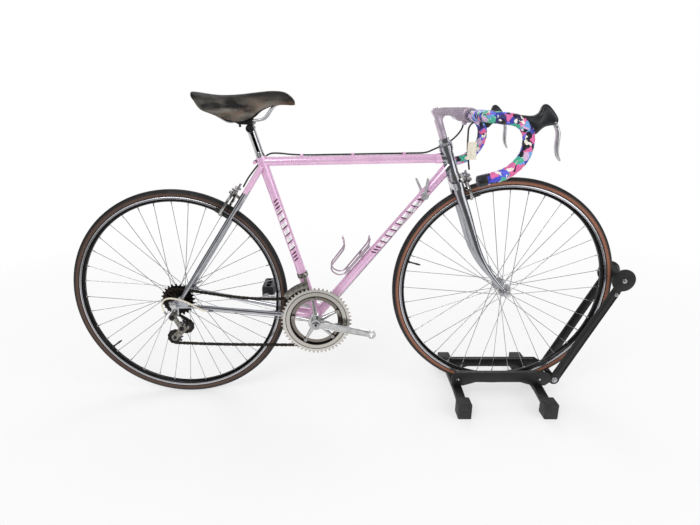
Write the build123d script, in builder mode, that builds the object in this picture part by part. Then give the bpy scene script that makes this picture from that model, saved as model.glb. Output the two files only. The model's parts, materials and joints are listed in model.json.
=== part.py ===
"""Road bicycle from about 1980 with its front wheel held in a floor stand.

Units are millimetres, +Z is up, +X points to the front of the bicycle and +Y to its left.
Every piece of the bicycle is given in the level bicycle's own frame, measured from the rear
axle, and then tipped nose-up by the amount that the stand lifts the front wheel.
"""
from build123d import *
from math import asin, atan2, cos, degrees, hypot, pi, radians, sin, sqrt, tan
import os

os.makedirs("parts", exist_ok=True)

# ---------------------------------------------------------------- driving dimensions
WHEELBASE = 991.0
FRONT_LIFT = 27.4               # height of the stand's rails under the front tyre
TYRE_R = 334.0
TYRE_SECTION_R = 12.0
RIM_EDGE_R = 311.5
RIM_INNER_R = 297.5
RIM_HALF_WIDTH = 9.5
RIM_WALL = 3.0
SPOKE_COUNT = 36
SPOKE_R = 1.0

BOTTOM_BRACKET_DROP = 76.5
CHAINSTAY = 428.0
SEAT_ANGLE = 74.4
HEAD_ANGLE = 72.6
FORK_RAKE = 48.0
SEAT_TUBE = 511.0
TOP_TUBE_JOIN = 498.0           # up the seat tube to the top tube's axis
SEAT_TUBE_R = 14.3
SEAT_TUBE_BORE_R = 13.6
TOP_TUBE_R = 12.9
DOWN_TUBE_R = 14.5
HEAD_TUBE_R = 16.2
HEAD_LOW = 377.0                # along the steering axis from the axle's foot on it
TOP_TUBE_HEAD = 428.0
DOWN_TUBE_HEAD = 409.0
HEAD_HIGH = TOP_TUBE_HEAD + 24.0
STEERER_TOP = HEAD_HIGH + 33.0
QUILL_TOP = STEERER_TOP + 56.0
LUG_REACH = 21.0                # past the head tube's wall

AXLE_R = 5.0
RUNNING_GAP = 0.05              # radial play of a bearing
FIT_GAP = 0.3                   # between faces on different bodies
REAR_SPACING = 63.0             # half the distance between the rear dropouts' inner faces
FRONT_SPACING = 50.0
DROPOUT_T = 6.0

CRANK_LENGTH = 170.0
CRANK_ANGLE = -11.7             # right arm, below straight ahead
CRANK_T = 13.0
PITCH = 12.7
RING_TEETH = (52, 42)
RING_Y = (-48.0, -41.0)
RING_T = 2.4
COG_TEETH = (24, 21, 19, 17, 15, 13)
COG_SPACING = 5.0
COG_T = 2.0
COG_INNER_Y = -28.5
CHAIN_RING = 1                  # which ring and cog the chain lies on
CHAIN_COG = 2
JOCKEY_TEETH = 10

STEM_REACH = 85.0               # quill's top to the bar's centre, forward
STEM_RISE = 6.6
BAR_HALF_WIDTH = 200.0
BAR_R = 12.7
TAPE_R = 14.8
STAND_REACH = 345.0             # front axle to the stand's head roller, forward
STAND_HEAD_R = 34.0
STAND_HEAD_Z = 395.0

TILT = degrees(asin(FRONT_LIFT / WHEELBASE))
AXLE_GAP = WHEELBASE * cos(radians(TILT))
REAR_AXLE_X = -(AXLE_GAP + STAND_REACH + STAND_HEAD_R - TYRE_R) / 2
FRONT_AXLE_X = REAR_AXLE_X + AXLE_GAP

BASE = (Align.CENTER, Align.CENTER, Align.MIN)
LEFT = 1
RIGHT = -1
SIDES = {"right": RIGHT, "left": LEFT}

# ---------------------------------------------------------------- frames of reference
BIKE = Plane(
    origin=(REAR_AXLE_X, 0, TYRE_R),
    x_dir=(cos(radians(TILT)), 0, sin(radians(TILT))),
    z_dir=(-sin(radians(TILT)), 0, cos(radians(TILT))),
)


def at(forward, left, up):
    """World point of a place on the level bicycle, measured from its rear axle."""
    return BIKE.from_local_coords(Vector(forward, left, up))


def heading(forward, left, up):
    """World direction of a direction on the level bicycle."""
    return at(forward, left, up) - at(0, 0, 0)


HEAD_SIN = sin(radians(HEAD_ANGLE))
HEAD_COS = cos(radians(HEAD_ANGLE))
STEERING_FOOT = (WHEELBASE - FORK_RAKE * HEAD_SIN, 0, -FORK_RAKE * HEAD_COS)
STEER = Plane(
    origin=at(*STEERING_FOOT),
    x_dir=heading(HEAD_SIN, 0, HEAD_COS),
    z_dir=heading(-HEAD_COS, 0, HEAD_SIN),
)


def steer(forward, left, up):
    """World point measured along and square to the steering axis, from the axle's foot on it."""
    return STEER.from_local_coords(Vector(forward, left, up))


SEAT_DIRECTION = (-cos(radians(SEAT_ANGLE)), 0, sin(radians(SEAT_ANGLE)))
BRACKET_FORWARD = sqrt(CHAINSTAY ** 2 - BOTTOM_BRACKET_DROP ** 2)
BRACKET = (BRACKET_FORWARD, 0, -BOTTOM_BRACKET_DROP)
SEAT = Plane(
    origin=at(*BRACKET),
    x_dir=heading(SEAT_DIRECTION[2], 0, -SEAT_DIRECTION[0]),
    z_dir=heading(*SEAT_DIRECTION),
)


def seat(forward, left, up):
    """World point measured along and square to the seat tube, from the bottom bracket."""
    return SEAT.from_local_coords(Vector(forward, left, up))


def side_plane(left=0.0):
    """Sketch plane of the level bicycle's side view: local x forward, local y up."""
    return Plane(origin=at(0, left, 0), x_dir=BIKE.x_dir, z_dir=(0, -1, 0))


def world_side(left=0.0):
    """Sketch plane of the floor's side view: local x forward, local y up."""
    return Plane(origin=(0, left, 0), x_dir=(1, 0, 0), z_dir=(0, -1, 0))


# ---------------------------------------------------------------- small builders
def rod(start, end, radius, end_radius=None, mode=Mode.ADD):
    """Round bar, or taper, between two world points."""
    start = Vector(*start)
    run = Vector(*end) - start
    with Locations(Plane(origin=start, z_dir=run).location):
        if end_radius is None:
            Cylinder(radius, run.length, align=BASE, mode=mode)
        else:
            Cone(radius, end_radius, run.length, align=BASE, mode=mode)


def cross_rod(point, half_length, radius, mode=Mode.ADD):
    """Round bar along the bicycle's width, centred on a world point."""
    middle = Vector(*point)
    reach = Vector(0, half_length, 0)
    rod(middle - reach, middle + reach, radius, mode=mode)


def bend_radii(points):
    """Bend radius at each inner point, as large as its two runs allow."""
    corners = [Vector(*point) for point in points]
    radii = []
    for before, corner, after in zip(corners, corners[1:], corners[2:]):
        run_in = corner - before
        run_out = after - corner
        turn = radians(run_in.get_angle(run_out))
        radii.append(0.45 * min(run_in.length, run_out.length) / tan(turn / 2))
    return radii


def cable(points, radius):
    """Round cable through world points, its runs joined by the largest bends that fit."""
    with BuildLine() as path:
        FilletPolyline(*points, radius=bend_radii(points))
    with BuildSketch(path.line ^ 0) as section:
        Circle(radius)
    sweep(section.sketch, path=path.line)


def bent_bar(points, radii, radius, mode=Mode.ADD):
    """Round bar through world points with the bend radii of the real tube."""
    with BuildLine() as path:
        FilletPolyline(*points, radius=radii)
    with BuildSketch(path.line ^ 0) as section:
        Circle(radius)
    sweep(section.sketch, path=path.line, mode=mode)


def oval_loft(stations, x_dir):
    """Tapered bar through (world point, along, across, direction) stations."""
    sections = []
    for point, along, across, direction in stations:
        with BuildSketch(Plane(origin=point, x_dir=x_dir, z_dir=direction)) as section:
            Ellipse(along, across)
        sections.append(section.sketch)
    loft(sections)


def plate(outline, plane, thickness, hole_points=(), hole_r=0.0, mode=Mode.ADD):
    """Flat plate of a closed outline, centred on its plane, with round holes."""
    with BuildSketch(plane) as face:
        with BuildLine():
            Polyline(*outline, close=True)
        make_face()
        if hole_points:
            with Locations(*hole_points):
                Circle(hole_r, mode=Mode.SUBTRACT)
    extrude(face.sketch, amount=thickness / 2, both=True, mode=mode)


def save(piece, name):
    """Label a finished piece and write its STEP file."""
    piece.part.label = name
    export_step(piece.part, f"parts/{name}.step")


# ---------------------------------------------------------------- wheels
HUB = {
    "front": {"centre": (WHEELBASE, 0, 0), "flanges": (-32.0, 32.0), "flange_r": 19.0, "barrel_r": 9.0},
    "rear": {"centre": (0, 0, 0), "flanges": (-20.0, 34.0), "flange_r": 22.0, "barrel_r": 10.0},
}
FLANGE_T = 3.0
CROSSES = 3
TYRE_CENTRE_R = TYRE_R - TYRE_SECTION_R


def section_plane(centre):
    """Plane through a wheel's axle: local x is the radius, local y the bicycle's left."""
    return Plane(origin=at(*centre), x_dir=(1, 0, 0), z_dir=(0, 0, 1))


def wheel_axis(centre):
    """Axis of a wheel, pointing left."""
    return Axis(at(*centre), (0, 1, 0))


def spoke_ends(hub, index):
    """World points of one spoke at its flange and in the rim."""
    side = index % 2
    order = index // 2
    count = SPOKE_COUNT // 2
    lean = 1 if order % 2 else -1
    rim_angle = 2 * pi * (order + side / 2) / count
    hub_angle = rim_angle + lean * 2 * pi * CROSSES / count
    middle = at(*hub["centre"])
    flange_y = hub["flanges"][side] + lean * FLANGE_T / 3
    hole_r = hub["flange_r"] - 3.0
    inner = middle + Vector(hole_r * cos(hub_angle), flange_y, hole_r * sin(hub_angle))
    reach = RIM_INNER_R + RIM_WALL / 2
    rim_y = 1.5 if side else -1.5
    outer = middle + Vector(reach * cos(rim_angle), rim_y, reach * sin(rim_angle))
    return inner, outer


for end, hub in HUB.items():
    middle = at(*hub["centre"])
    with BuildPart() as tyre:
        with BuildSketch(section_plane(hub["centre"])):
            with Locations((TYRE_CENTRE_R, 0)):
                Circle(TYRE_SECTION_R)
            with Locations((RIM_EDGE_R, 0)):
                Rectangle(2 * TYRE_SECTION_R, 4 * TYRE_SECTION_R, align=(Align.MAX, Align.CENTER), mode=Mode.SUBTRACT)
        revolve(axis=wheel_axis(hub["centre"]))
    save(tyre, f"{end}_tyre")

    with BuildPart() as rim:
        with BuildSketch(section_plane(hub["centre"])):
            with BuildLine():
                Polyline(
                    (RIM_EDGE_R, -RIM_HALF_WIDTH),
                    (RIM_EDGE_R, RIM_HALF_WIDTH),
                    (RIM_EDGE_R - 9.0, RIM_HALF_WIDTH),
                    (RIM_INNER_R, 5.0),
                    (RIM_INNER_R, -5.0),
                    (RIM_EDGE_R - 9.0, -RIM_HALF_WIDTH),
                    close=True,
                )
            make_face()
        revolve(axis=wheel_axis(hub["centre"]))
        for index in range(SPOKE_COUNT):
            inner, outer = spoke_ends(hub, index)
            run = (outer - inner).normalized()
            rod(outer - run * 8, outer + run * 2, SPOKE_R, mode=Mode.SUBTRACT)
    save(rim, f"{end}_rim")

    with BuildPart() as hub_shell:
        low, high = hub["flanges"]
        rod(middle + Vector(0, low - 4, 0), middle + Vector(0, high + 4, 0), hub["barrel_r"])
        for flange_y in hub["flanges"]:
            cross_rod(middle + Vector(0, flange_y, 0), FLANGE_T / 2, hub["flange_r"])
        for index in range(SPOKE_COUNT):
            inner, outer = spoke_ends(hub, index)
            rod(inner, outer, SPOKE_R)
        rod(
            middle + Vector(0, low - 10, 0),
            middle + Vector(0, high + 10, 0),
            AXLE_R + RUNNING_GAP,
            mode=Mode.SUBTRACT,
        )
    save(hub_shell, f"{end}_hub")

# ---------------------------------------------------------------- axles and quick releases
LOCKNUT_R = 9.0
SKEWER_NUT_R = 9.0


def quick_release(centre, spacing, inner_low, inner_high, lever_end):
    """Axle with its locknuts, skewer, right nut and left lever."""
    middle = at(*centre)
    outside = spacing + DROPOUT_T
    rod(middle - Vector(0, outside, 0), middle + Vector(0, outside, 0), AXLE_R)
    rod(middle + Vector(0, inner_high, 0), middle + Vector(0, spacing, 0), LOCKNUT_R)
    rod(middle - Vector(0, spacing, 0), middle + Vector(0, inner_low, 0), LOCKNUT_R)
    rod(middle - Vector(0, outside + 14, 0), middle - Vector(0, outside, 0), SKEWER_NUT_R)
    rod(middle + Vector(0, outside, 0), middle + Vector(0, outside + 13, 0), SKEWER_NUT_R)
    lever_root = middle + Vector(0, outside + 7, 0)
    rod(lever_root, lever_root + lever_end, 5.0, 3.5)


FLANGE_END = 4.0
with BuildPart() as front_axle:
    quick_release(
        HUB["front"]["centre"],
        FRONT_SPACING,
        HUB["front"]["flanges"][0] - FLANGE_END - 1.0,
        HUB["front"]["flanges"][1] + FLANGE_END + 1.0,
        heading(-18, 6, 46),
    )
save(front_axle, "front_axle")

with BuildPart() as rear_axle:
    quick_release(
        HUB["rear"]["centre"],
        REAR_SPACING,
        COG_INNER_Y - COG_SPACING * len(COG_TEETH) - 0.5,
        HUB["rear"]["flanges"][1] + FLANGE_END + 1.0,
        heading(48, 4, 20),
    )
save(rear_axle, "rear_axle")

# ---------------------------------------------------------------- frame tubes
SHELL_R = 19.5
SHELL_HALF = 34.0
SPINDLE_R = 8.5
CUP_R = 18.0
COLLAR = 14.0
COLLAR_WALL = 1.8
top_tube_rear = seat(0, 0, TOP_TUBE_JOIN)
top_tube_front = steer(0, 0, TOP_TUBE_HEAD)
down_tube_front = steer(0, 0, DOWN_TUBE_HEAD)

with BuildPart() as head_tube:
    rod(steer(0, 0, HEAD_LOW), steer(0, 0, HEAD_HIGH), HEAD_TUBE_R)
    for target, tube_r in ((top_tube_rear, TOP_TUBE_R), (at(*BRACKET), DOWN_TUBE_R)):
        root = top_tube_front if tube_r == TOP_TUBE_R else down_tube_front
        run = (target - root).normalized()
        rod(root, root + run * (HEAD_TUBE_R + LUG_REACH), tube_r + 1.6)
    rod(steer(0, 0, HEAD_LOW), steer(0, 0, HEAD_LOW + 5), HEAD_TUBE_R + 1.6)
    rod(steer(0, 0, HEAD_HIGH - 5), steer(0, 0, HEAD_HIGH), HEAD_TUBE_R + 1.6)
    rod(steer(0, 0, HEAD_LOW - 1), steer(0, 0, HEAD_HIGH + 1), HEAD_TUBE_R - 2.2, mode=Mode.SUBTRACT)
    for target, tube_r in ((top_tube_rear, TOP_TUBE_R), (at(*BRACKET), DOWN_TUBE_R)):
        root = top_tube_front if tube_r == TOP_TUBE_R else down_tube_front
        run = (target - root).normalized()
        rod(root + run * (HEAD_TUBE_R + 8), root + run * 60, tube_r, mode=Mode.SUBTRACT)
save(head_tube, "head_tube")

with BuildPart() as top_tube:
    run = (top_tube_rear - top_tube_front).normalized()
    rod(top_tube_front + run * (HEAD_TUBE_R + 8), top_tube_rear - run * 6, TOP_TUBE_R)
    rod(seat(0, 0, 0), seat(0, 0, SEAT_TUBE + 30), SEAT_TUBE_R, mode=Mode.SUBTRACT)
    rod(seat(0, 0, SEAT_TUBE - COLLAR), seat(0, 0, SEAT_TUBE), SEAT_TUBE_R + COLLAR_WALL, mode=Mode.SUBTRACT)
save(top_tube, "top_tube")

with BuildPart() as down_tube:
    run = (at(*BRACKET) - down_tube_front).normalized()
    rod(down_tube_front + run * (HEAD_TUBE_R + 8), at(*BRACKET), DOWN_TUBE_R)
    cross_rod(at(*BRACKET), SHELL_HALF + 10, SHELL_R, mode=Mode.SUBTRACT)
    rod(seat(0, 0, 0), seat(0, 0, 90), SEAT_TUBE_R, mode=Mode.SUBTRACT)
save(down_tube, "down_tube")

with BuildPart() as seat_tube:
    rod(seat(0, 0, 0), seat(0, 0, SEAT_TUBE), SEAT_TUBE_R)
    rod(seat(0, 0, SEAT_TUBE - COLLAR), seat(0, 0, SEAT_TUBE), SEAT_TUBE_R + COLLAR_WALL)
    cross_rod(seat(-SEAT_TUBE_R - 6, 0, SEAT_TUBE - 8), 13, 5.0)
    cross_rod(at(*BRACKET), SHELL_HALF + 10, SHELL_R, mode=Mode.SUBTRACT)
    rod(seat(0, 0, SHELL_R + 20), seat(0, 0, SEAT_TUBE + 10), SEAT_TUBE_BORE_R, mode=Mode.SUBTRACT)
save(seat_tube, "seat_tube")

with BuildPart() as bottom_bracket:
    cross_rod(at(*BRACKET), SHELL_HALF, SHELL_R)
    cross_rod(at(*BRACKET), SHELL_HALF + 4, CUP_R)
    cross_rod(at(*BRACKET), SHELL_HALF + 10, SPINDLE_R + RUNNING_GAP, mode=Mode.SUBTRACT)
save(bottom_bracket, "bottom_bracket")

# Rear triangle: stays are tapered tubes that end in the slots of flat dropouts.
STAY_TOP_Y = 20.0
SEAT_STAY_TOP_R = 7.5
SEAT_STAY_END_R = 5.5
SEAT_STAY_TOP = seat(-SEAT_TUBE_R + 3, 0, TOP_TUBE_JOIN - 16)
SEAT_STAY_END = at(24, 0, 18)
CHAIN_STAY_END = at(40, 0, -9)
CHAIN_STAY_END_R = 6.0
CABLE_STOP_FRONT = (112.0, -61.0, -29.0)
CABLE_STOP = (100.0, -62.5, -27.5)
CHAIN_STAY_WAIST_R = 8.5
CHAIN_STAY_WAIST_Y = 30.5
DROPOUT_MID = REAR_SPACING + DROPOUT_T / 2
BRIDGE_REACH = 368.0            # rear axle to the brake bridge

stay_run = (SEAT_STAY_TOP - SEAT_STAY_END).normalized()

with BuildPart() as seat_stays:
    for side in SIDES.values():
        low = SEAT_STAY_END + Vector(0, side * DROPOUT_MID, 0)
        high = SEAT_STAY_TOP + Vector(0, side * STAY_TOP_Y, 0)
        run = (high - low).normalized()
        rod(low, low + run * 120, SEAT_STAY_END_R, SEAT_STAY_TOP_R)
        rod(low + run * 120, high + run * 10, SEAT_STAY_TOP_R)
    bridge = SEAT_STAY_END + stay_run * 340
    cross_rod(bridge, 27, 6.0)
    cross_rod(SEAT_STAY_TOP + stay_run * 2, STAY_TOP_Y, 6.0)
    rod(seat(0, 0, SEAT_TUBE - 120), seat(0, 0, SEAT_TUBE + 30), SEAT_TUBE_R, mode=Mode.SUBTRACT)
save(seat_stays, "seat_stays")

with BuildPart() as chainstays:
    for side in SIDES.values():
        low = CHAIN_STAY_END + Vector(0, side * (DROPOUT_MID - 1), 0)
        waist = at(300, side * CHAIN_STAY_WAIST_Y, -56)
        high = at(BRACKET[0] - 10, side * 21, BRACKET[2])
        rod(low, waist, CHAIN_STAY_END_R, CHAIN_STAY_WAIST_R)
        rod(waist, high, CHAIN_STAY_WAIST_R, 10.0)
        with Locations(Location(waist)):
            Sphere(CHAIN_STAY_WAIST_R)
    cross_rod(at(355, 0, -66), 26, 5.0)
    rod(at(*CABLE_STOP_FRONT), at(*CABLE_STOP), 3.8)
    cross_rod(at(*BRACKET), SHELL_HALF + 30, SHELL_R, mode=Mode.SUBTRACT)
save(chainstays, "chainstays")

with BuildPart() as dropouts:
    for side in SIDES.values():
        plate(
            [(-16, 9), (2, 13), (20, 24), (30, 22), (30, 8), (44, -4), (42, -15), (16, -14), (-10, -13), (-17, -5)],
            side_plane(side * DROPOUT_MID),
            DROPOUT_T,
            hole_points=[(0, 0)],
            hole_r=AXLE_R,
        )
        if side == RIGHT:
            plate(
                [(-10, -12), (12, -13), (8, -36), (-4, -44), (-16, -38)],
                side_plane(side * DROPOUT_MID),
                DROPOUT_T,
            )
    for side in SIDES.values():
        low = SEAT_STAY_END + Vector(0, side * DROPOUT_MID, 0)
        high = SEAT_STAY_TOP + Vector(0, side * STAY_TOP_Y, 0)
        run = (high - low).normalized()
        rod(low, low + run * 120, SEAT_STAY_END_R, SEAT_STAY_TOP_R, mode=Mode.SUBTRACT)
        low = CHAIN_STAY_END + Vector(0, side * (DROPOUT_MID - 1), 0)
        rod(low, at(300, side * CHAIN_STAY_WAIST_Y, -56), CHAIN_STAY_END_R, CHAIN_STAY_WAIST_R, mode=Mode.SUBTRACT)
save(dropouts, "dropouts")

# ---------------------------------------------------------------- seatpost and saddle
SEATPOST_R = SEAT_TUBE_BORE_R
SEATPOST_NECK_R = 12.2
SEATPOST_TOP = 588.0
SEAT_CLAMP_FORWARD = BRACKET[0] + (SEATPOST_TOP + 18) * SEAT_DIRECTION[0]
SADDLE_NOSE = 390.0
RAIL_R = 3.5
SEAT_RAIL_Y = 22.0
SEAT_RAIL_UP = 516.0


def saddle_rail(side, mode=Mode.ADD):
    """One bent rail of the saddle, from its nose socket to its tail socket."""
    points = [
        at(SADDLE_NOSE - 22, side * 5, 566),
        at(SADDLE_NOSE - 60, side * 8, 552),
        at(302, side * SEAT_RAIL_Y, SEAT_RAIL_UP + 1),
        at(205, side * SEAT_RAIL_Y, SEAT_RAIL_UP - 1),
        at(156, side * 30, 548),
        at(139, side * 32, 574),
    ]
    bent_bar(points, [25, 30, 30, 12], RAIL_R, mode=mode)


with BuildPart() as seatpost:
    rod(seat(0, 0, SEAT_TUBE - 90), seat(0, 0, SEAT_TUBE + 2), SEATPOST_R)
    rod(seat(0, 0, SEAT_TUBE + 2), seat(0, 0, SEAT_TUBE + 12), SEATPOST_R, SEATPOST_NECK_R)
    rod(seat(0, 0, SEAT_TUBE + 12), seat(0, 0, SEATPOST_TOP), SEATPOST_NECK_R)
    cross_rod(seat(0, 0, SEATPOST_TOP + 6), 18, 11.0)
    plate(
        [(-38, 1), (-26, -8), (14, -11), (16, 0), (8, 7), (-34, 7)],
        Plane(origin=at(SEAT_CLAMP_FORWARD, 0, SEAT_RAIL_UP), x_dir=BIKE.x_dir, z_dir=(0, -1, 0)),
        2 * SEAT_RAIL_Y + 12,
    )
    for side in SIDES.values():
        saddle_rail(side, mode=Mode.SUBTRACT)
save(seatpost, "seatpost")

with BuildPart() as saddle_rails:
    for side in SIDES.values():
        saddle_rail(side)
save(saddle_rails, "saddle_rails")

# (forward, half width, top, skirt) stations of the saddle from its tail to its nose
SADDLE_STATIONS = (
    (124.0, 57.0, 597.0, 574.0),
    (143.0, 73.0, 593.5, 551.0),
    (172.0, 76.0, 588.5, 538.0),
    (205.0, 70.0, 586.0, 524.0),
    (240.0, 56.0, 586.5, 515.0),
    (268.0, 40.0, 588.5, 522.0),
    (295.0, 29.0, 590.5, 541.0),
    (330.0, 22.0, 592.0, 553.0),
    (365.0, 19.5, 587.0, 553.5),
    (389.0, 14.0, 566.0, 552.0),
)
SADDLE_WALL = 5.0


def saddle_sections(stations, inset):
    """Sections of the saddle's leather, or of the hollow under it when inset by the wall."""
    sections = []
    for forward, half_width, top, skirt in stations:
        width = half_width - inset
        rise = top - skirt
        level = at(forward, 0, skirt - inset)
        with BuildSketch(Plane(origin=level, x_dir=(0, 1, 0), z_dir=BIKE.x_dir)) as section:
            with BuildLine():
                Line((-width, 0), (width, 0))
                Spline((width, 0), (width * 0.76, rise * 0.84), (0, rise), (-width * 0.76, rise * 0.84), (-width, 0))
            make_face()
        sections.append(section.sketch)
    return sections


with BuildPart() as saddle:
    loft(saddle_sections(SADDLE_STATIONS, 0))
    loft(saddle_sections(SADDLE_STATIONS[1:-2], SADDLE_WALL), mode=Mode.SUBTRACT)
    for side in SIDES.values():
        saddle_rail(side, mode=Mode.SUBTRACT)
save(saddle, "saddle")

# ---------------------------------------------------------------- fork and headset
CROWN_LOW = 341.0
CROWN_HIGH = 360.0
BLADE_TOP_Y = 31.0
BLADE_END_Y = FRONT_SPACING + DROPOUT_T / 2
STEERER_R = 12.7
CUP_T = 12.0
LOCKNUT_LOW = HEAD_HIGH + CUP_T + 9.0

with BuildPart() as fork_crown:
    with BuildSketch(Plane(origin=steer(0, 0, CROWN_LOW), x_dir=STEER.x_dir, z_dir=STEER.z_dir)):
        SlotCenterToCenter(2 * BLADE_TOP_Y, 30, rotation=90)
    extrude(amount=CROWN_HIGH - CROWN_LOW)
    rod(steer(0, 0, CROWN_HIGH - 2), steer(0, 0, CROWN_HIGH + 4), 16.0)
    rod(steer(0, 0, CROWN_HIGH), steer(0, 0, STEERER_TOP), STEERER_R)
    rod(steer(0, 0, CROWN_LOW - 5), steer(0, 0, STEERER_TOP + 5), 11.0 + RUNNING_GAP, mode=Mode.SUBTRACT)
save(fork_crown, "fork_crown")


def blade_station(up, side):
    """Centre, half axes and direction of a fork blade's section at a height up the axis."""
    share = max(0.0, 1 - up / CROWN_LOW)
    bend = max(0.0, 1 - up / 190.0)
    forward = FORK_RAKE * bend ** 2.2
    left = side * (BLADE_TOP_Y + (BLADE_END_Y - BLADE_TOP_Y) * share)
    along = 14.5 - 8.5 * share ** 1.3
    across = 10.0 - 4.0 * share
    slope = -FORK_RAKE * 2.2 * bend ** 1.2 / 190.0
    lateral = -side * (BLADE_END_Y - BLADE_TOP_Y) / CROWN_LOW
    direction = STEER.x_dir * slope + Vector(0, lateral, 0) + STEER.z_dir
    return steer(forward, left, up), along, across, direction


for name, side in SIDES.items():
    with BuildPart() as blade:
        stations = [blade_station(up, side) for up in (14.0, 50.0, 95.0, 145.0, 200.0, 270.0, CROWN_LOW + 2)]
        oval_loft(stations, STEER.x_dir)
        with Locations(Plane(origin=steer(0, 0, CROWN_LOW), x_dir=STEER.x_dir, z_dir=STEER.z_dir).location):
            Box(60, 200, 40, align=BASE, mode=Mode.SUBTRACT)
        tip_plane = Plane(origin=at(WHEELBASE, side * BLADE_END_Y, 0), x_dir=STEER.x_dir, z_dir=(0, -1, 0))
        plate(
            [(-11, -4), (-8, -13), (8, -13), (11, -2), (7, 10), (0, 24), (-10, 24), (-8, 8)],
            tip_plane,
            DROPOUT_T,
            hole_points=[(0, 0)],
            hole_r=AXLE_R,
        )
    save(blade, f"fork_blade_{name}")

with BuildPart() as headset_cups:
    for low, high in ((CROWN_HIGH + 4 + FIT_GAP, HEAD_LOW), (HEAD_HIGH, HEAD_HIGH + CUP_T)):
        rod(steer(0, 0, low), steer(0, 0, high), 19.5)
    rod(steer(0, 0, CROWN_HIGH), steer(0, 0, STEERER_TOP), STEERER_R + RUNNING_GAP, mode=Mode.SUBTRACT)
save(headset_cups, "headset_cups")

with BuildPart() as headset_top:
    rod(steer(0, 0, HEAD_HIGH + CUP_T + FIT_GAP), steer(0, 0, LOCKNUT_LOW), 18.5)
    rod(steer(0, 0, LOCKNUT_LOW), steer(0, 0, STEERER_TOP), 15.0)
    rod(steer(0, 0, HEAD_HIGH), steer(0, 0, STEERER_TOP + 5), STEERER_R, mode=Mode.SUBTRACT)
save(headset_top, "headset_top")

# ---------------------------------------------------------------- stem and handlebar
STEM_R = 11.0
KNEE_FORWARD = STEERING_FOOT[0] - HEAD_COS * QUILL_TOP
KNEE_UP = STEERING_FOOT[2] + HEAD_SIN * QUILL_TOP
BAR_FORWARD = KNEE_FORWARD + STEM_REACH
BAR_UP = KNEE_UP + STEM_RISE
BAR_CENTRE = at(BAR_FORWARD, 0, BAR_UP)
CLAMP_R = 20.0
CLAMP_HALF = 18.0

with BuildPart() as stem:
    rod(steer(0, 0, HEAD_LOW + 10), steer(0, 0, QUILL_TOP), STEM_R)
    plate(
        [
            (KNEE_FORWARD - 18.5, KNEE_UP + 20),
            (KNEE_FORWARD - 16, KNEE_UP + 25),
            (KNEE_FORWARD - 10, KNEE_UP + 28),
            (KNEE_FORWARD + 10, KNEE_UP + 30),
            (BAR_FORWARD - 12, BAR_UP + 21.5),
            (BAR_FORWARD, BAR_UP + CLAMP_R),
            (BAR_FORWARD - 10, BAR_UP - 17),
            (BAR_FORWARD - 30, BAR_UP - 14),
            (KNEE_FORWARD + 42, KNEE_UP + 3),
            (KNEE_FORWARD + 29, KNEE_UP + 8),
            (KNEE_FORWARD + 18, KNEE_UP + 8),
            (KNEE_FORWARD + 13, KNEE_UP + 3),
            (KNEE_FORWARD + 11, KNEE_UP - 6),
            (KNEE_FORWARD + 2, KNEE_UP - 20),
        ],
        side_plane(),
        20.0,
    )
    cross_rod(BAR_CENTRE, CLAMP_HALF, CLAMP_R)
    cross_rod(BAR_CENTRE, 30, BAR_R + 1.0, mode=Mode.SUBTRACT)
save(stem, "stem")

BAR_CORNER = 50.0
TAPE_START = CLAMP_HALF + 2.0


def near_bar(outline):
    """Side view points given from the bar's centre, as points from the rear axle."""
    return [(BAR_FORWARD + forward, BAR_UP + up) for forward, up in outline]


# Side view of the drop, from the bar's centre: the bends' corners, then the bar's end
DROP_CORNERS = near_bar([(0, 0), (95, -15), (95, -94.4), (49.8, -137.4), (-23.5, -154.5)])


def drop_points(side):
    """Centre line of one half of the handlebar from the stem clamp to the bar's end."""
    edge = side * BAR_HALF_WIDTH
    return [BAR_CENTRE] + [at(forward, edge, up) for forward, up in DROP_CORNERS]


DROP_BENDS = [BAR_CORNER, 49.0, 72.0, 88.0]
with BuildPart() as handlebar:
    cross_rod(BAR_CENTRE, CLAMP_HALF, BAR_R + 1.0)
    cross_rod(BAR_CENTRE, TAPE_START, BAR_R)
save(handlebar, "handlebar")

for name, side in SIDES.items():
    with BuildPart() as tape:
        bent_bar(drop_points(side), DROP_BENDS, TAPE_R)
        cross_rod(BAR_CENTRE, TAPE_START, 3 * TAPE_R, mode=Mode.SUBTRACT)
    save(tape, f"bar_tape_{name}")

HOOD_Y = BAR_HALF_WIDTH - 4
HOOD_OUTLINE = near_bar(
    [
        (57, 3),
        (76, 0.5),
        (98, -2),
        (113, 3),
        (119.5, 10.5),
        (119.5, 20.5),
        (125.5, 25.2),
        (135, 24),
        (146.5, 12),
        (158.5, -4),
        (162.5, -13),
        (160.5, -23.2),
        (150.5, -26.3),
        (134, -28),
        (121, -36.5),
        (109, -49.5),
        (97, -34),
        (83.5, -19),
        (70, -7),
    ]
)
LEVER_OUTLINE = near_bar(
    [
        (150.5, -26.3),
        (160.5, -23.2),
        (167, -31),
        (171.8, -48.5),
        (171, -75.5),
        (171.5, -93.5),
        (179, -110.5),
        (175.5, -112),
        (162.5, -93.5),
        (159, -78),
        (160.2, -48.5),
    ]
)
for name, side in SIDES.items():
    with BuildPart() as hood:
        plate(HOOD_OUTLINE, side_plane(side * HOOD_Y), 29.0)
        bent_bar(drop_points(side), DROP_BENDS, TAPE_R, mode=Mode.SUBTRACT)
    save(hood, f"brake_hood_{name}")
    with BuildPart() as lever:
        plate(LEVER_OUTLINE, side_plane(side * HOOD_Y), 11.0)
    save(lever, f"brake_lever_{name}")

# ---------------------------------------------------------------- drivetrain
def pitch_radius(teeth):
    """Radius of the chain's pin line round a sprocket."""
    return PITCH / (2 * sin(pi / teeth))


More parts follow.
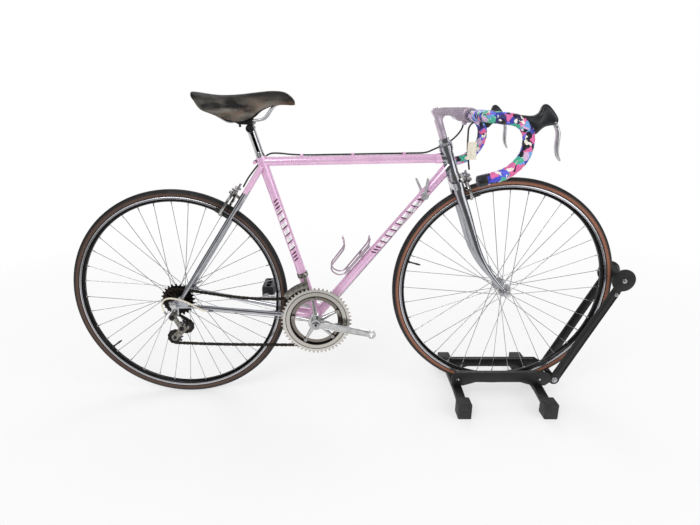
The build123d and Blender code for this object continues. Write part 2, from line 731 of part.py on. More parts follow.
RING_R = [pitch_radius(teeth) for teeth in RING_TEETH]
COG_R = [pitch_radius(teeth) for teeth in COG_TEETH]
JOCKEY_R = pitch_radius(JOCKEY_TEETH)
BRACKET_POINT = at(*BRACKET)
CHAIN_Y = RING_Y[CHAIN_RING]
COG_Y = [COG_INNER_Y - COG_SPACING * (index + 0.5) for index in range(len(COG_TEETH))]


def toothed(teeth, centre, y, thickness, inner_r):
    """Flat sprocket with pointed teeth, its middle plane at y, in the part being built."""
    pitch_r = pitch_radius(teeth)
    outline = []
    for index in range(teeth):
        angle = 2 * pi * index / teeth
        step = 2 * pi / teeth
        for share, reach in ((-0.32, -3.4), (-0.10, 3.2), (0.10, 3.2), (0.32, -3.4)):
            around = angle + share * step
            outline.append(((pitch_r + reach) * cos(around), (pitch_r + reach) * sin(around)))
    middle = at(*centre) + Vector(0, y, 0)
    with BuildSketch(Plane(origin=middle, x_dir=BIKE.x_dir, z_dir=(0, -1, 0))) as face:
        with BuildLine():
            Polyline(*outline, close=True)
        make_face()
        Circle(inner_r, mode=Mode.SUBTRACT)
    extrude(face.sketch, amount=thickness / 2, both=True)


CRANK_OUT = Vector(0, -1, 0)
SPIDER_R = 66.0
SPIDER_Y = (RING_Y[0] + RING_Y[1]) / 2
SPIDER_BOLT_R = 72.0
ARM_ROOT_Y = 66.0
ARM_TIP_Y = 80.0
PEDAL_THREAD_R = 7.1


def crank_point(angle, reach, left):
    """World point at a distance from the bracket in a direction of the side view."""
    return at(
        BRACKET[0] + reach * cos(radians(angle)),
        left,
        BRACKET[2] + reach * sin(radians(angle)),
    )


def crank_arm(angle, side):
    """Tapered arm with its spindle boss and threaded pedal eye."""
    root_plane = Plane(
        origin=crank_point(angle, 0, side * ARM_ROOT_Y),
        x_dir=(0, 1, 0),
        z_dir=crank_point(angle, 1, 0) - crank_point(angle, 0, 0),
    )
    tip_plane = Plane(
        origin=crank_point(angle, CRANK_LENGTH, side * ARM_TIP_Y),
        x_dir=(0, 1, 0),
        z_dir=root_plane.z_dir,
    )
    with BuildSketch(root_plane) as wide:
        RectangleRounded(CRANK_T + 2, 27, 4)
    with BuildSketch(tip_plane) as narrow:
        RectangleRounded(CRANK_T - 1, 19, 4)
    loft([wide.sketch, narrow.sketch])
    cross_rod(crank_point(angle, 0, side * (ARM_ROOT_Y + 2)), 12, 16.0)
    cross_rod(crank_point(angle, CRANK_LENGTH, side * ARM_TIP_Y), (CRANK_T - 1) / 2, 12.5)


with BuildPart() as crankset:
    toothed(RING_TEETH[0], BRACKET, RING_Y[0], RING_T, SPIDER_R + 12)
    toothed(RING_TEETH[1], BRACKET, RING_Y[1], RING_T, SPIDER_R)
    crank_arm(CRANK_ANGLE, RIGHT)
    rod(crank_point(0, 0, -62), crank_point(0, 0, -43), 24.0)
    for index in range(5):
        angle = CRANK_ANGLE + 36 + 72 * index
        rod(crank_point(angle, 10, -50), crank_point(angle, SPIDER_BOLT_R, SPIDER_Y), 8.0, 4.0)
        cross_rod(crank_point(angle, SPIDER_BOLT_R, SPIDER_Y), 7.0, 5.0)
    cross_rod(at(*BRACKET), 100, SPINDLE_R, mode=Mode.SUBTRACT)
    cross_rod(crank_point(CRANK_ANGLE, CRANK_LENGTH, -ARM_TIP_Y), 20, PEDAL_THREAD_R, mode=Mode.SUBTRACT)
save(crankset, "crankset")

with BuildPart() as crank_spindle:
    cross_rod(at(*BRACKET), ARM_ROOT_Y + 12, SPINDLE_R)
save(crank_spindle, "crank_spindle")

PEDAL_SHAFT_R = 5.0
with BuildPart() as crank_left:
    crank_arm(CRANK_ANGLE + 180, LEFT)
    cross_rod(at(*BRACKET), 100, SPINDLE_R, mode=Mode.SUBTRACT)
    tip = crank_point(CRANK_ANGLE + 180, CRANK_LENGTH, ARM_TIP_Y)
    rod(tip, tip + Vector(0, 96, 0), PEDAL_SHAFT_R)
save(crank_left, "crank_left")

PEDAL_INNER_Y = ARM_TIP_Y + CRANK_T / 2 + 4.0
PEDAL_WIDTH = 88.0
PEDAL_RISE = 10.0               # the block's middle above its shaft
with BuildPart() as pedal:
    middle = crank_point(CRANK_ANGLE + 180, CRANK_LENGTH, PEDAL_INNER_Y + PEDAL_WIDTH / 2)
    pedal_plane = Plane(origin=middle, x_dir=(0, 0, 1), z_dir=(0, -1, 0))
    with BuildSketch(pedal_plane):
        with Locations((PEDAL_RISE, -2)):
            RectangleRounded(40, 38, 5)
    extrude(amount=PEDAL_WIDTH / 2, both=True)
    cross_rod(middle, PEDAL_WIDTH, PEDAL_SHAFT_R + RUNNING_GAP, mode=Mode.SUBTRACT)
save(pedal, "pedal_left")

with BuildPart() as freewheel:
    body_end = COG_Y[-1] - COG_T / 2
    rod(at(0, COG_INNER_Y, 0), at(0, body_end, 0), 20.0)
    for teeth, y in zip(COG_TEETH, COG_Y):
        toothed(teeth, (0, 0, 0), y, COG_T, 18.0)
    cross_rod(at(0, 0, 0), 80, AXLE_R, mode=Mode.SUBTRACT)
save(freewheel, "freewheel")

# Chain loop in its own plane. Each wheel has a signed radius: plus where the chain, going round
# clockwise, touches it on the left of its travel, and minus on the right.
UPPER_JOCKEY = (18.0, 0, -84.0)
LOWER_JOCKEY = (-21.0, 0, -120.0)
CHAIN_WHEELS = (
    ((0, 0, 0), COG_R[CHAIN_COG]),
    (BRACKET, RING_R[CHAIN_RING]),
    (LOWER_JOCKEY, JOCKEY_R),
    (UPPER_JOCKEY, -JOCKEY_R),
)
CHAIN_HALF_HEIGHT = 4.2
CHAIN_HALF_GAP = 1.75
CHAIN_PLATE_T = 1.6
PIN_R = 1.8
PIN_SKIP = 3                    # links beside a sprocket whose pins are left to its teeth


def tangent(first, second, offset):
    """Ends of the chain's run between two wheels, moved to the left of its travel."""
    (first_at, first_r), (second_at, second_r) = first, second
    dx = second_at[0] - first_at[0]
    dz = second_at[2] - first_at[2]
    first_r += offset
    second_r += offset
    normal = atan2(dz, dx) + pi / 2 - asin((first_r - second_r) / hypot(dx, dz))
    start = (first_at[0] + first_r * cos(normal), first_at[2] + first_r * sin(normal))
    finish = (second_at[0] + second_r * cos(normal), second_at[2] + second_r * sin(normal))
    return start, finish, normal


def chain_loop(offset):
    """Closed line of runs and arcs at a distance to the left of the pin line."""
    pairs = list(zip(CHAIN_WHEELS, CHAIN_WHEELS[1:] + CHAIN_WHEELS[:1]))
    runs = [tangent(first, second, offset) for first, second in pairs]
    for index, (start, finish, normal) in enumerate(runs):
        Line(start, finish)
        wheel_at, wheel_r = pairs[index][1]
        wheel_r += offset
        next_start, _, next_normal = runs[(index + 1) % len(runs)]
        turn = (normal - next_normal) % (2 * pi) if wheel_r > 0 else -((next_normal - normal) % (2 * pi))
        halfway = normal - turn / 2
        middle = (wheel_at[0] + wheel_r * cos(halfway), wheel_at[2] + wheel_r * sin(halfway))
        ThreePointArc(finish, middle, next_start)


with BuildPart() as chain:
    for side in SIDES.values():
        y = CHAIN_Y + side * (CHAIN_HALF_GAP + CHAIN_PLATE_T / 2)
        with BuildSketch(side_plane(y)) as band:
            with BuildLine():
                chain_loop(CHAIN_HALF_HEIGHT)
            make_face()
            with BuildLine():
                chain_loop(-CHAIN_HALF_HEIGHT)
            make_face(mode=Mode.SUBTRACT)
        extrude(band.sketch, amount=CHAIN_PLATE_T / 2, both=True)
    for first, second in ((0, 1), (1, 2)):
        start, finish, _ = tangent(CHAIN_WHEELS[first], CHAIN_WHEELS[second], 0)
        run = hypot(finish[0] - start[0], finish[1] - start[1])
        count = int(run / PITCH - 2 * PIN_SKIP)
        for index in range(count):
            share = (index + PIN_SKIP + 0.5) * PITCH / run
            cross_rod(
                at(
                    start[0] + (finish[0] - start[0]) * share,
                    CHAIN_Y,
                    start[1] + (finish[1] - start[1]) * share,
                ),
                CHAIN_HALF_GAP + CHAIN_PLATE_T / 2,
                PIN_R,
            )
save(chain, "chain")

# ---------------------------------------------------------------- derailleurs and shifters
CAGE_HALF_GAP = 5.6
CAGE_T = 1.6
HANGER = (-7.0, -DROPOUT_MID, -37.0)
with BuildPart() as rear_derailleur:
    for wheel_at in (UPPER_JOCKEY, LOWER_JOCKEY):
        toothed(JOCKEY_TEETH, wheel_at, CHAIN_Y, RING_T, 3.0)
        cross_rod(at(wheel_at[0], CHAIN_Y, wheel_at[2]), CAGE_HALF_GAP + CAGE_T, 4.0)
    for side in SIDES.values():
        y = CHAIN_Y + side * (CAGE_HALF_GAP + CAGE_T / 2)
        rise = (UPPER_JOCKEY[0] - LOWER_JOCKEY[0], UPPER_JOCKEY[2] - LOWER_JOCKEY[2])
        middle = at((UPPER_JOCKEY[0] + LOWER_JOCKEY[0]) / 2, y, (UPPER_JOCKEY[2] + LOWER_JOCKEY[2]) / 2)
        with BuildSketch(Plane(origin=middle, x_dir=heading(rise[0], 0, rise[1]), z_dir=(0, -1, 0))) as cage:
            SlotCenterToCenter(hypot(*rise), 20)
        extrude(cage.sketch, amount=CAGE_T / 2, both=True)
    outer_cage_y = CHAIN_Y - CAGE_HALF_GAP - CAGE_T
    knuckle = at(UPPER_JOCKEY[0] - 4, outer_cage_y, UPPER_JOCKEY[2] + 6)
    rod(knuckle, knuckle + Vector(0, -28, 0), 11.0)
    hanger_face = at(HANGER[0], -REAR_SPACING - DROPOUT_T, HANGER[2])
    rod(hanger_face, hanger_face + Vector(0, -15, 0), 11.0)
    for drop in (-7, 7):
        rod(
            at(HANGER[0] + 4, -REAR_SPACING - DROPOUT_T - 9, HANGER[2] + drop),
            at(UPPER_JOCKEY[0] - 6, outer_cage_y - 24, UPPER_JOCKEY[2] + 6 + drop),
            4.5,
        )
save(rear_derailleur, "rear_derailleur")

FD_BAND_UP = 141.0
FD_Y = CHAIN_Y - 1.0


def ring_sector(inner_r, outer_r, start, finish, y, thickness):
    """Curved strip about the bracket between two angles of the side view."""
    with BuildSketch(side_plane(y)) as strip:
        with BuildLine():
            corner = [
                (BRACKET[0] + reach * cos(radians(angle)), BRACKET[2] + reach * sin(radians(angle)))
                for reach in (inner_r, outer_r)
                for angle in (start, (start + finish) / 2, finish)
            ]
            ThreePointArc(corner[0], corner[1], corner[2])
            Line(corner[2], corner[5])
            ThreePointArc(corner[5], corner[4], corner[3])
            Line(corner[3], corner[0])
        make_face()
    extrude(strip.sketch, amount=thickness / 2, both=True)


with BuildPart() as front_derailleur:
    rod(seat(0, 0, FD_BAND_UP - 7), seat(0, 0, FD_BAND_UP + 7), SEAT_TUBE_R + 2.4)
    cross_rod(seat(9, -SEAT_TUBE_R - 7, FD_BAND_UP), 9, 6.2)
    rod(seat(9, -SEAT_TUBE_R - 11, FD_BAND_UP - 2), seat(2, FD_Y + 4, FD_BAND_UP - 38), 5.0, 4.5)
    for side, low_r in ((LEFT, 98.0), (RIGHT, RING_R[0] + 6.0)):
        ring_sector(low_r, 127.0, 100.0, 138.0, FD_Y + side * 7.5, 1.8)
    ring_sector(122.0, 125.0, 101.0, 112.0, FD_Y, 15.6)
    rod(seat(0, 0, FD_BAND_UP - 20), seat(0, 0, FD_BAND_UP + 20), SEAT_TUBE_R, mode=Mode.SUBTRACT)
save(front_derailleur, "front_derailleur")

DOWN_RUN = (at(*BRACKET) - down_tube_front).normalized()
SHIFTER_ALONG = 112.0           # down the down tube from its joint at the head
with BuildPart() as shifters:
    boss = down_tube_front + DOWN_RUN * SHIFTER_ALONG
    cross_rod(boss, DOWN_TUBE_R + 13, 8.0)
    for side in SIDES.values():
        root = boss + Vector(0, side * (DOWN_TUBE_R + 7), 0)
        cross_rod(root, 5.5, 11.0)
        lever_run = heading(8, 0, 50) if side == RIGHT else heading(-20, 0, 46)
        rod(root, root + lever_run, 4.5, 3.2)
    rod(down_tube_front, at(*BRACKET), DOWN_TUBE_R, mode=Mode.SUBTRACT)
save(shifters, "shifters")

# ---------------------------------------------------------------- brakes
PAD_GAP = 2.0
PAD_T = 9.0
PAD_Y = RIM_HALF_WIDTH + PAD_GAP + PAD_T / 2
BRAKE_ARM_T = 7.5


def calliper(frame_plane, depth, stand_off):
    """Side-pull brake on a plane: local x across, y down to the rim, z away from the frame."""

    def place(left, down, out):
        return frame_plane.from_local_coords(Vector(left, down, out))

    rod(place(0, 0, 0), place(0, 0, stand_off + 2 * BRAKE_ARM_T + 4), 5.0)
    for side, level in ((LEFT, stand_off), (RIGHT, stand_off + BRAKE_ARM_T)):
        outline = [
            (side * -24, -14),
            (side * -20, -22),
            (side * 2, -11),
            (side * 24, 0),
            (side * 36, 18),
            (side * 36, depth - 12),
            (side * 25, depth + 8),
            (side * 17, depth + 8),
            (side * 17, depth - 8),
            (side * 25, depth - 16),
            (side * 24, 18),
            (side * 6, 9),
            (side * -8, 6),
        ]
        with BuildSketch(Plane(origin=place(0, 0, level), x_dir=frame_plane.x_dir, z_dir=frame_plane.z_dir)) as arm:
            with BuildLine():
                Polyline(*outline, close=True)
            make_face()
        extrude(arm.sketch, amount=BRAKE_ARM_T)
    for side in SIDES.values():
        pad_middle = place(side * PAD_Y, depth, stand_off + BRAKE_ARM_T)
        with Locations(Plane(origin=pad_middle, x_dir=frame_plane.x_dir, z_dir=frame_plane.z_dir).location):
            Box(PAD_T, 10, 48)


REAR_PAD_DEPTH = 64.0
FRONT_PAD_DEPTH = 46.0
CROWN_BRAKE_UP = (CROWN_LOW + CROWN_HIGH) / 2
stay_back = stay_run.cross(Vector(0, 1, 0))
REAR_BRAKE = Plane(origin=bridge + stay_back * 6.0, x_dir=(0, 1, 0), z_dir=stay_back)
FRONT_BRAKE = Plane(origin=steer(15.0, 0, CROWN_BRAKE_UP), x_dir=(0, -1, 0), z_dir=STEER.x_dir)

with BuildPart() as rear_brake:
    calliper(REAR_BRAKE, REAR_PAD_DEPTH, 14.0)
save(rear_brake, "rear_brake")

with BuildPart() as front_brake:
    calliper(FRONT_BRAKE, FRONT_PAD_DEPTH, 8.0)
save(front_brake, "front_brake")

# ---------------------------------------------------------------- cables
HOUSING_R = 2.5
CABLE_START = (-2.0, 58.0, -17.4)  # on the bicycle's left, from the bar's centre
FRONT_CABLE_ROUTE = [
    at(BAR_FORWARD + CABLE_START[0], -CABLE_START[1], BAR_UP + CABLE_START[2]),
    at(BAR_FORWARD - 9, -38, BAR_UP - 26),
    at(BAR_FORWARD - 7, -28, BAR_UP - 54),
    at(BAR_FORWARD - 7, -28, BAR_UP - 84),
    at(BAR_FORWARD - 3, -24, BAR_UP - 114),
    at(BAR_FORWARD + 2, -23, BAR_UP - 146),
]
with BuildPart() as front_brake_cable:
    cable(FRONT_CABLE_ROUTE, HOUSING_R)
save(front_brake_cable, "front_brake_cable")

TAG_CENTRE = at(BAR_FORWARD + 5, -28 - HOUSING_R - 0.35, BAR_UP - 94)
with BuildPart() as paper_tag:
    with Locations(Plane(origin=TAG_CENTRE, x_dir=BIKE.x_dir, z_dir=(0, -1, 0)).location):
        Box(26, 48, 0.8)
save(paper_tag, "paper_tag")

TOP_TUBE_RUN = (top_tube_rear - top_tube_front).normalized()
CABLE_LIFT = TOP_TUBE_R + HOUSING_R + 0.3


def on_top_tube(forward, left=0.0, lift=0.0):
    """World point of a cable lying along the top of the top tube."""
    share = (BRACKET[0] + 396.0 - forward) / 530.0
    start = top_tube_front + (top_tube_rear - top_tube_front) * share
    return start + Vector(0, left, CABLE_LIFT + lift)


LOOP_END = on_top_tube(735)
REAR_LOOP_ROUTE = [
    at(BAR_FORWARD + CABLE_START[0], CABLE_START[1], BAR_UP + CABLE_START[2]),
    at(BAR_FORWARD - 2, 48, BAR_UP - 28),
    at(BAR_FORWARD - 12, 42, BAR_UP - 46),
    at(BAR_FORWARD - 34, 34, BAR_UP - 66),
    at(BAR_FORWARD - 62, 25, BAR_UP - 81),
    at(BAR_FORWARD - 90, 10, BAR_UP - 88),
    LOOP_END + TOP_TUBE_RUN * -18,
    LOOP_END,
]
with BuildPart() as rear_brake_loop:
    cable(REAR_LOOP_ROUTE, HOUSING_R)
save(rear_brake_loop, "rear_brake_loop")

with BuildPart() as rear_brake_cable:
    cable(
        [
            LOOP_END,
            LOOP_END + TOP_TUBE_RUN * 42,
            on_top_tube(640, 0, 0.1),
            on_top_tube(585, 1, 0.2),
            on_top_tube(530, 0, 0.1),
            on_top_tube(475, 1, 0.2),
            on_top_tube(420, 0, 0.1),
            on_top_tube(370, 4, 2),
            on_top_tube(334, 14, 6),
            on_top_tube(300, 25, 5),
            at(270, 28, 392),
            at(250, 27, 370),
            at(232, 27, 348),
            at(220.5, 27, 328.5),
        ],
        HOUSING_R,
    )
save(rear_brake_cable, "rear_brake_cable")

WIRE_R = 1.2
WIRE_GAP = 0.8
down_low = DOWN_RUN.cross(Vector(0, 1, 0)).normalized()
if down_low.Z > 0:
    down_low = down_low * -1


def under_down_tube(along, left):
    """World point of a bare wire just below the down tube."""
    depth = sqrt((DOWN_TUBE_R + WIRE_R + WIRE_GAP) ** 2 - left ** 2)
    return down_tube_front + DOWN_RUN * along + down_low * depth + Vector(0, left, 0)


with BuildPart() as gear_cables:
    for side in SIDES.values():
        wire_start = boss + Vector(0, side * (DOWN_TUBE_R + 6), 0) + DOWN_RUN * 13
        wire_mid = under_down_tube(SHIFTER_ALONG + 160, side * 12)
        wire_end = under_down_tube(545, side * 6)
        rod(wire_start, wire_mid, WIRE_R)
        rod(wire_mid, wire_end, WIRE_R)
        with Locations(Location(wire_mid)):
            Sphere(WIRE_R)
    shell_low = at(BRACKET[0], 0, BRACKET[2] - SHELL_R - 2)
    with Locations(Plane(origin=shell_low, x_dir=BIKE.x_dir, z_dir=BIKE.z_dir).location):
        Box(30, 26, 4)
    rod(at(BRACKET[0] - 8, -7, BRACKET[2] - SHELL_R - 2), at(*CABLE_STOP_FRONT), WIRE_R)
    cable(
        [
            at(*CABLE_STOP),
            at(CABLE_STOP[0] - 6, CABLE_STOP[1] - 0.75, CABLE_STOP[2] + 0.75),
            at(CABLE_STOP[0] - 18, CABLE_STOP[1] - 6.5, CABLE_STOP[2] + 5),
            at(64, -78, -6),
            at(42, -81, 11),
            at(13, -84, 23),
            at(-13, -84, 26),
            at(-29, -84, 17),
            at(-34, -83, -4),
            at(-24, -80, -29),
        ],
        HOUSING_R,
    )
save(gear_cables, "gear_cables")

# ---------------------------------------------------------------- bottle cage
CAGE_WIRE_R = 2.5
CAGE_HALF = 18.0
CAGE_PLATE_UP = DOWN_TUBE_R + 5.0
CAGE_BOSSES = (176.0, 240.0)
CAGE_FRAME = Plane(
    origin=at(*BRACKET),
    x_dir=DOWN_RUN * -1,
    z_dir=down_low * -1,
)


def on_down_tube(along, left, up):
    """World point measured along, across and square to the down tube, from the bracket."""
    return CAGE_FRAME.from_local_coords(Vector(along, left, up))


# Side view of the cage's wire along and above the down tube, from its top end to its lip
CAGE_WIRE = ((298, 38), (281, 27.5), (152, 24.5), (144, 71), (228, 75.5), (247, 101))

with BuildPart() as bottle_cage:
    cage_route = [on_down_tube(along, CAGE_HALF, up) for along, up in CAGE_WIRE]
    cage_route += [on_down_tube(along, -CAGE_HALF, up) for along, up in CAGE_WIRE[::-1]]
    bent_bar(cage_route, bend_radii(cage_route), CAGE_WIRE_R)
    cage_plane = Plane(
        origin=on_down_tube(219, 0, CAGE_PLATE_UP),
        x_dir=CAGE_FRAME.x_dir,
        z_dir=CAGE_FRAME.z_dir,
    )
    with Locations(cage_plane.location):
        Box(116, 14, 2.4)
        with Locations(*[(along - 219, 0, 3) for along in CAGE_BOSSES]):
            Box(12, 2 * CAGE_HALF + 2, 4)
    for along in CAGE_BOSSES:
        rod(on_down_tube(along, 0, 0), on_down_tube(along, 0, CAGE_PLATE_UP), 5.0)
    rod(on_down_tube(0, 0, 0), on_down_tube(400, 0, 0), DOWN_TUBE_R, mode=Mode.SUBTRACT)
save(bottle_cage, "bottle_cage")

# ---------------------------------------------------------------- floor stand
RAIL_Y = 50.0
RAIL_T = 6.0
LEG_SPREAD = 144.0
LEG_REAR = 124.0                # rear cross leg, behind the front axle
LEG_REAR_X = FRONT_AXLE_X - LEG_REAR
LEG_FRONT_X = FRONT_AXLE_X + 131.0
LEG_T = 16.0
LEG_WIDTH = 28.0
TYRE_REST = sqrt(TYRE_R ** 2 - (LEG_REAR - LEG_WIDTH / 2) ** 2)
LEG_TOP = TYRE_R + FRONT_LIFT - TYRE_REST - FIT_GAP
RAIL_TOP = 92.0
RAIL_ARCH = 58.0
RAIL_OUTLINE = (
    (-142, LEG_TOP),
    (-142, RAIL_TOP - 8),
    (-130, RAIL_TOP),
    (152, RAIL_TOP),
    (168, RAIL_TOP - 10),
    (170, LEG_TOP + 14),
    (152, LEG_TOP),
    (112, LEG_TOP),
    (74, RAIL_ARCH),
    (-66, RAIL_ARCH),
    (-104, LEG_TOP),
)
STAND_PIVOT = (FRONT_AXLE_X + 182.0, 64.0)
STAND_HEAD = (FRONT_AXLE_X + STAND_REACH, STAND_HEAD_Z)
ARM_Y = 43.0
ARM_T = 8.0
HOLDER_R = 9.0
PIVOT_R = 17.0
FOOT_DROP = 12.0

with BuildPart() as stand_rails:
    for side in SIDES.values():
        plate([(FRONT_AXLE_X + x, z) for x, z in RAIL_OUTLINE], world_side(side * RAIL_Y), RAIL_T)
save(stand_rails, "stand_rails")

LEG_OUTLINE = (
    (-LEG_SPREAD, LEG_TOP - FOOT_DROP),
    (-RAIL_Y - 8, LEG_TOP),
    (RAIL_Y + 8, LEG_TOP),
    (LEG_SPREAD, LEG_TOP - FOOT_DROP),
    (LEG_SPREAD, LEG_TOP - FOOT_DROP - LEG_T),
    (RAIL_Y + 8, LEG_TOP - LEG_T),
    (-RAIL_Y - 8, LEG_TOP - LEG_T),
    (-LEG_SPREAD, LEG_TOP - FOOT_DROP - LEG_T),
)


def leg_plane(x):
    """Sketch plane seen from the front of the stand: local x to the left, local y up."""
    return Plane(origin=(x, 0, 0), x_dir=(0, 1, 0), z_dir=(1, 0, 0))


with BuildPart() as stand_legs:
    for x in (LEG_REAR_X, LEG_FRONT_X):
        plate(LEG_OUTLINE, leg_plane(x), LEG_WIDTH)
save(stand_legs, "stand_legs")

with BuildPart() as stand_feet:
    for x in (LEG_REAR_X, LEG_FRONT_X):
        for side in SIDES.values():
            with Locations((x, side * LEG_SPREAD, 0)):
                Box(LEG_WIDTH + 12, 44, 50, align=BASE)
        plate(LEG_OUTLINE, leg_plane(x), LEG_WIDTH, mode=Mode.SUBTRACT)
save(stand_feet, "stand_feet")

for name, side in SIDES.items():
    with BuildPart() as arm:
        with BuildSketch(world_side(side * ARM_Y)) as face:
            with BuildLine():
                run = hypot(STAND_HEAD[0] - STAND_PIVOT[0], STAND_HEAD[1] - STAND_PIVOT[1])
                along = (
                    (STAND_HEAD[0] - STAND_PIVOT[0]) / run,
                    (STAND_HEAD[1] - STAND_PIVOT[1]) / run,
                )
                offsets = ((0, -15), (run, -13), (run, 13), (0, 15))
                Polyline(
                    *[
                        (
                            STAND_PIVOT[0] + along[0] * reach - along[1] * across,
                            STAND_PIVOT[1] + along[1] * reach + along[0] * across,
                        )
                        for reach, across in offsets
                    ],
                    close=True,
                )
            make_face()
            with Locations(STAND_HEAD):
                Circle(STAND_HEAD_R)
            with Locations(STAND_PIVOT):
                Circle(PIVOT_R)
        extrude(face.sketch, amount=ARM_T / 2, both=True)
    save(arm, f"stand_arm_{name}")

with BuildPart() as stand_holder:
    roller = Vector(STAND_HEAD[0] + 6, 0, STAND_HEAD[1])
    for side in SIDES.values():
        rod(roller, roller + Vector(0, side * (ARM_Y - ARM_T / 2), 0), HOLDER_R, 3 * HOLDER_R)
    cross_rod((STAND_PIVOT[0], 0, STAND_PIVOT[1]), ARM_Y - ARM_T / 2, HOLDER_R)
save(stand_holder, "stand_holder")
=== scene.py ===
"""The looks of a road bicycle in its floor stand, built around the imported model.

Sizes are in millimetres and are turned into metres where a mesh is made. Places on the bicycle
are given on the level bicycle: forward and up from the rear axle, and to its left.
"""
import json
import logging
from collections.abc import Callable, Sequence
from dataclasses import dataclass, field
from enum import Enum
from math import asin, atan2, ceil, cos, pi, radians, sin, tan

import bpy
from mathutils import Euler, Matrix, Quaternion, Vector


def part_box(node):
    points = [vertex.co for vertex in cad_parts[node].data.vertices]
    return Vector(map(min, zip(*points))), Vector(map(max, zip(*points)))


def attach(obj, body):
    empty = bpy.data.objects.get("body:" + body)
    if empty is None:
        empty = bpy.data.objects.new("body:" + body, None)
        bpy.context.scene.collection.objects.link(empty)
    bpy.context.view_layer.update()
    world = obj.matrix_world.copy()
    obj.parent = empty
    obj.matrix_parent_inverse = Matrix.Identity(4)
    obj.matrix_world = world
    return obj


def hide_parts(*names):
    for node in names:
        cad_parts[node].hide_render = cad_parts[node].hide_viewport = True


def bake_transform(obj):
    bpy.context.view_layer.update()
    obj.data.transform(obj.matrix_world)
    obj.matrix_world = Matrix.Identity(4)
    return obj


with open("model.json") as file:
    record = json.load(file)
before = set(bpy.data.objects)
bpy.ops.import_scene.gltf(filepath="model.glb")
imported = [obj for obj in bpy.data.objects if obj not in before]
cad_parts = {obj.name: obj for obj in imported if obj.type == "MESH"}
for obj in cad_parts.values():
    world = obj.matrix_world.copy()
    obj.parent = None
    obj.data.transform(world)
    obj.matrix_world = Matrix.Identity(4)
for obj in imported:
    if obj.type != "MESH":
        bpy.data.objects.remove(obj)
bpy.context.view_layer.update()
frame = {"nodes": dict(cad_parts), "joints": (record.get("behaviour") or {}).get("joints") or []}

MM = 0.001
log = logging.getLogger("bicycle")

Thing = bpy.types.Object
Socket = bpy.types.NodeSocket
Outline = Sequence[tuple[float, float]]
Colour = tuple[float, float, float, float]


class Body(str, Enum):
    """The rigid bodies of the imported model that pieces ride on."""

    FRONT = "front_assembly"
    FRAME = "frame"
    FRONT_WHEEL = "front_wheel"
    REAR_WHEEL = "rear_wheel"
    CRANK = "crank"
    PEDAL = "pedal"


class Side(Enum):
    """A side of the bicycle; its value is the sign of that side's distance to the left."""

    RIGHT = -1
    LEFT = 1

    @property
    def word(self) -> str:
        """The side's name as it stands in node names."""
        return self.name.lower()


# ---------------------------------------------------------------- places
@dataclass(frozen=True)
class Bicycle:
    """Frames of reference of the bicycle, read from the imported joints.

    Args:
        rear: Rear axle in world metres.
        front: Front axle in world metres.
        bracket: Bottom bracket in world metres.
        steering_axis: Upward direction of the steering axis.
    """

    rear: Vector
    front: Vector
    bracket: Vector
    steering_axis: Vector
    rake: float = 48.0
    seat_angle: float = 74.4
    bar_forward: float = 868.4
    bar_up: float = 508.5

    @property
    def forward(self) -> Vector:
        """Direction from the rear axle to the front axle."""
        return (self.front - self.rear).normalized()

    @property
    def up(self) -> Vector:
        """Upward direction of the level bicycle."""
        return self.forward.cross(Vector((0, 1, 0)))

    def at(self, forward: float, left: float, up: float) -> Vector:
        """World point of a place on the level bicycle."""
        return self.rear + self.heading(forward, left, up)

    def bar(self, forward: float, left: float, up: float) -> Vector:
        """World point measured from the handlebar's centre."""
        return self.at(self.bar_forward + forward, left, self.bar_up + up)

    def heading(self, forward: float, left: float, up: float) -> Vector:
        """World vector of a step on the level bicycle."""
        return (self.forward * forward + Vector((0, left, 0)) + self.up * up) * MM

    @property
    def steering_forward(self) -> Vector:
        """Direction square to the steering axis, ahead."""
        return Vector((0, 1, 0)).cross(self.steering_axis)

    def steer(self, forward: float, left: float, up: float) -> Vector:
        """World point measured along the steering axis from the front axle's foot on it."""
        foot = self.front - self.steering_forward * self.rake * MM
        return foot + (self.steering_forward * forward + Vector((0, left, 0)) + self.steering_axis * up) * MM

    @property
    def seat_axis(self) -> Vector:
        """Upward direction of the seat tube."""
        angle = radians(self.seat_angle)
        return (self.up * sin(angle) - self.forward * cos(angle)).normalized()

    @property
    def seat_forward(self) -> Vector:
        """Direction square to the seat tube, ahead."""
        return Vector((0, 1, 0)).cross(self.seat_axis)

    @property
    def top_tube(self) -> tuple[Vector, Vector]:
        """Ends of the top tube, at the head tube and at the seat tube."""
        return self.steer(0, 0, 428.0), self.seat(0, 0, 498.0)

    @property
    def down_tube_head(self) -> Vector:
        """Where the down tube meets the head tube."""
        return self.steer(0, 0, 409.0)

    def seat(self, forward: float, left: float, up: float) -> Vector:
        """World point measured along the seat tube from the bottom bracket."""
        step = self.seat_forward * forward + Vector((0, left, 0)) + self.seat_axis * up
        return self.bracket + step * MM


def joint_point(name: str) -> Vector:
    """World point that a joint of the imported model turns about."""
    return next(Vector(joint["pos_m"]) for joint in frame["joints"] if joint["name"] == name)


def joint_axis(name: str) -> Vector:
    """World direction of a joint's axis."""
    return next(Vector(joint["axis"]) for joint in frame["joints"] if joint["name"] == name).normalized()


BIKE = Bicycle(
    rear=joint_point("rear_wheel_spin"),
    front=joint_point("front_wheel_spin"),
    bracket=joint_point("crank_spin"),
    steering_axis=joint_axis("steering"),
)
LEFTWARD = Vector((0, 1, 0))
LEVEL = Euler((0, 0, 0))
BRACKET_FORWARD = (BIKE.bracket - BIKE.rear).dot(BIKE.forward) / MM
BRACKET_UP = (BIKE.bracket - BIKE.rear).dot(BIKE.up) / MM


# ---------------------------------------------------------------- bench work on meshes
def deselect() -> None:
    """Leave nothing selected."""
    for thing in bpy.context.selected_objects:
        thing.select_set(False)


def choose(thing: Thing) -> None:
    """Select one object alone and make it active."""
    deselect()
    thing.select_set(True)
    bpy.context.view_layer.objects.active = thing


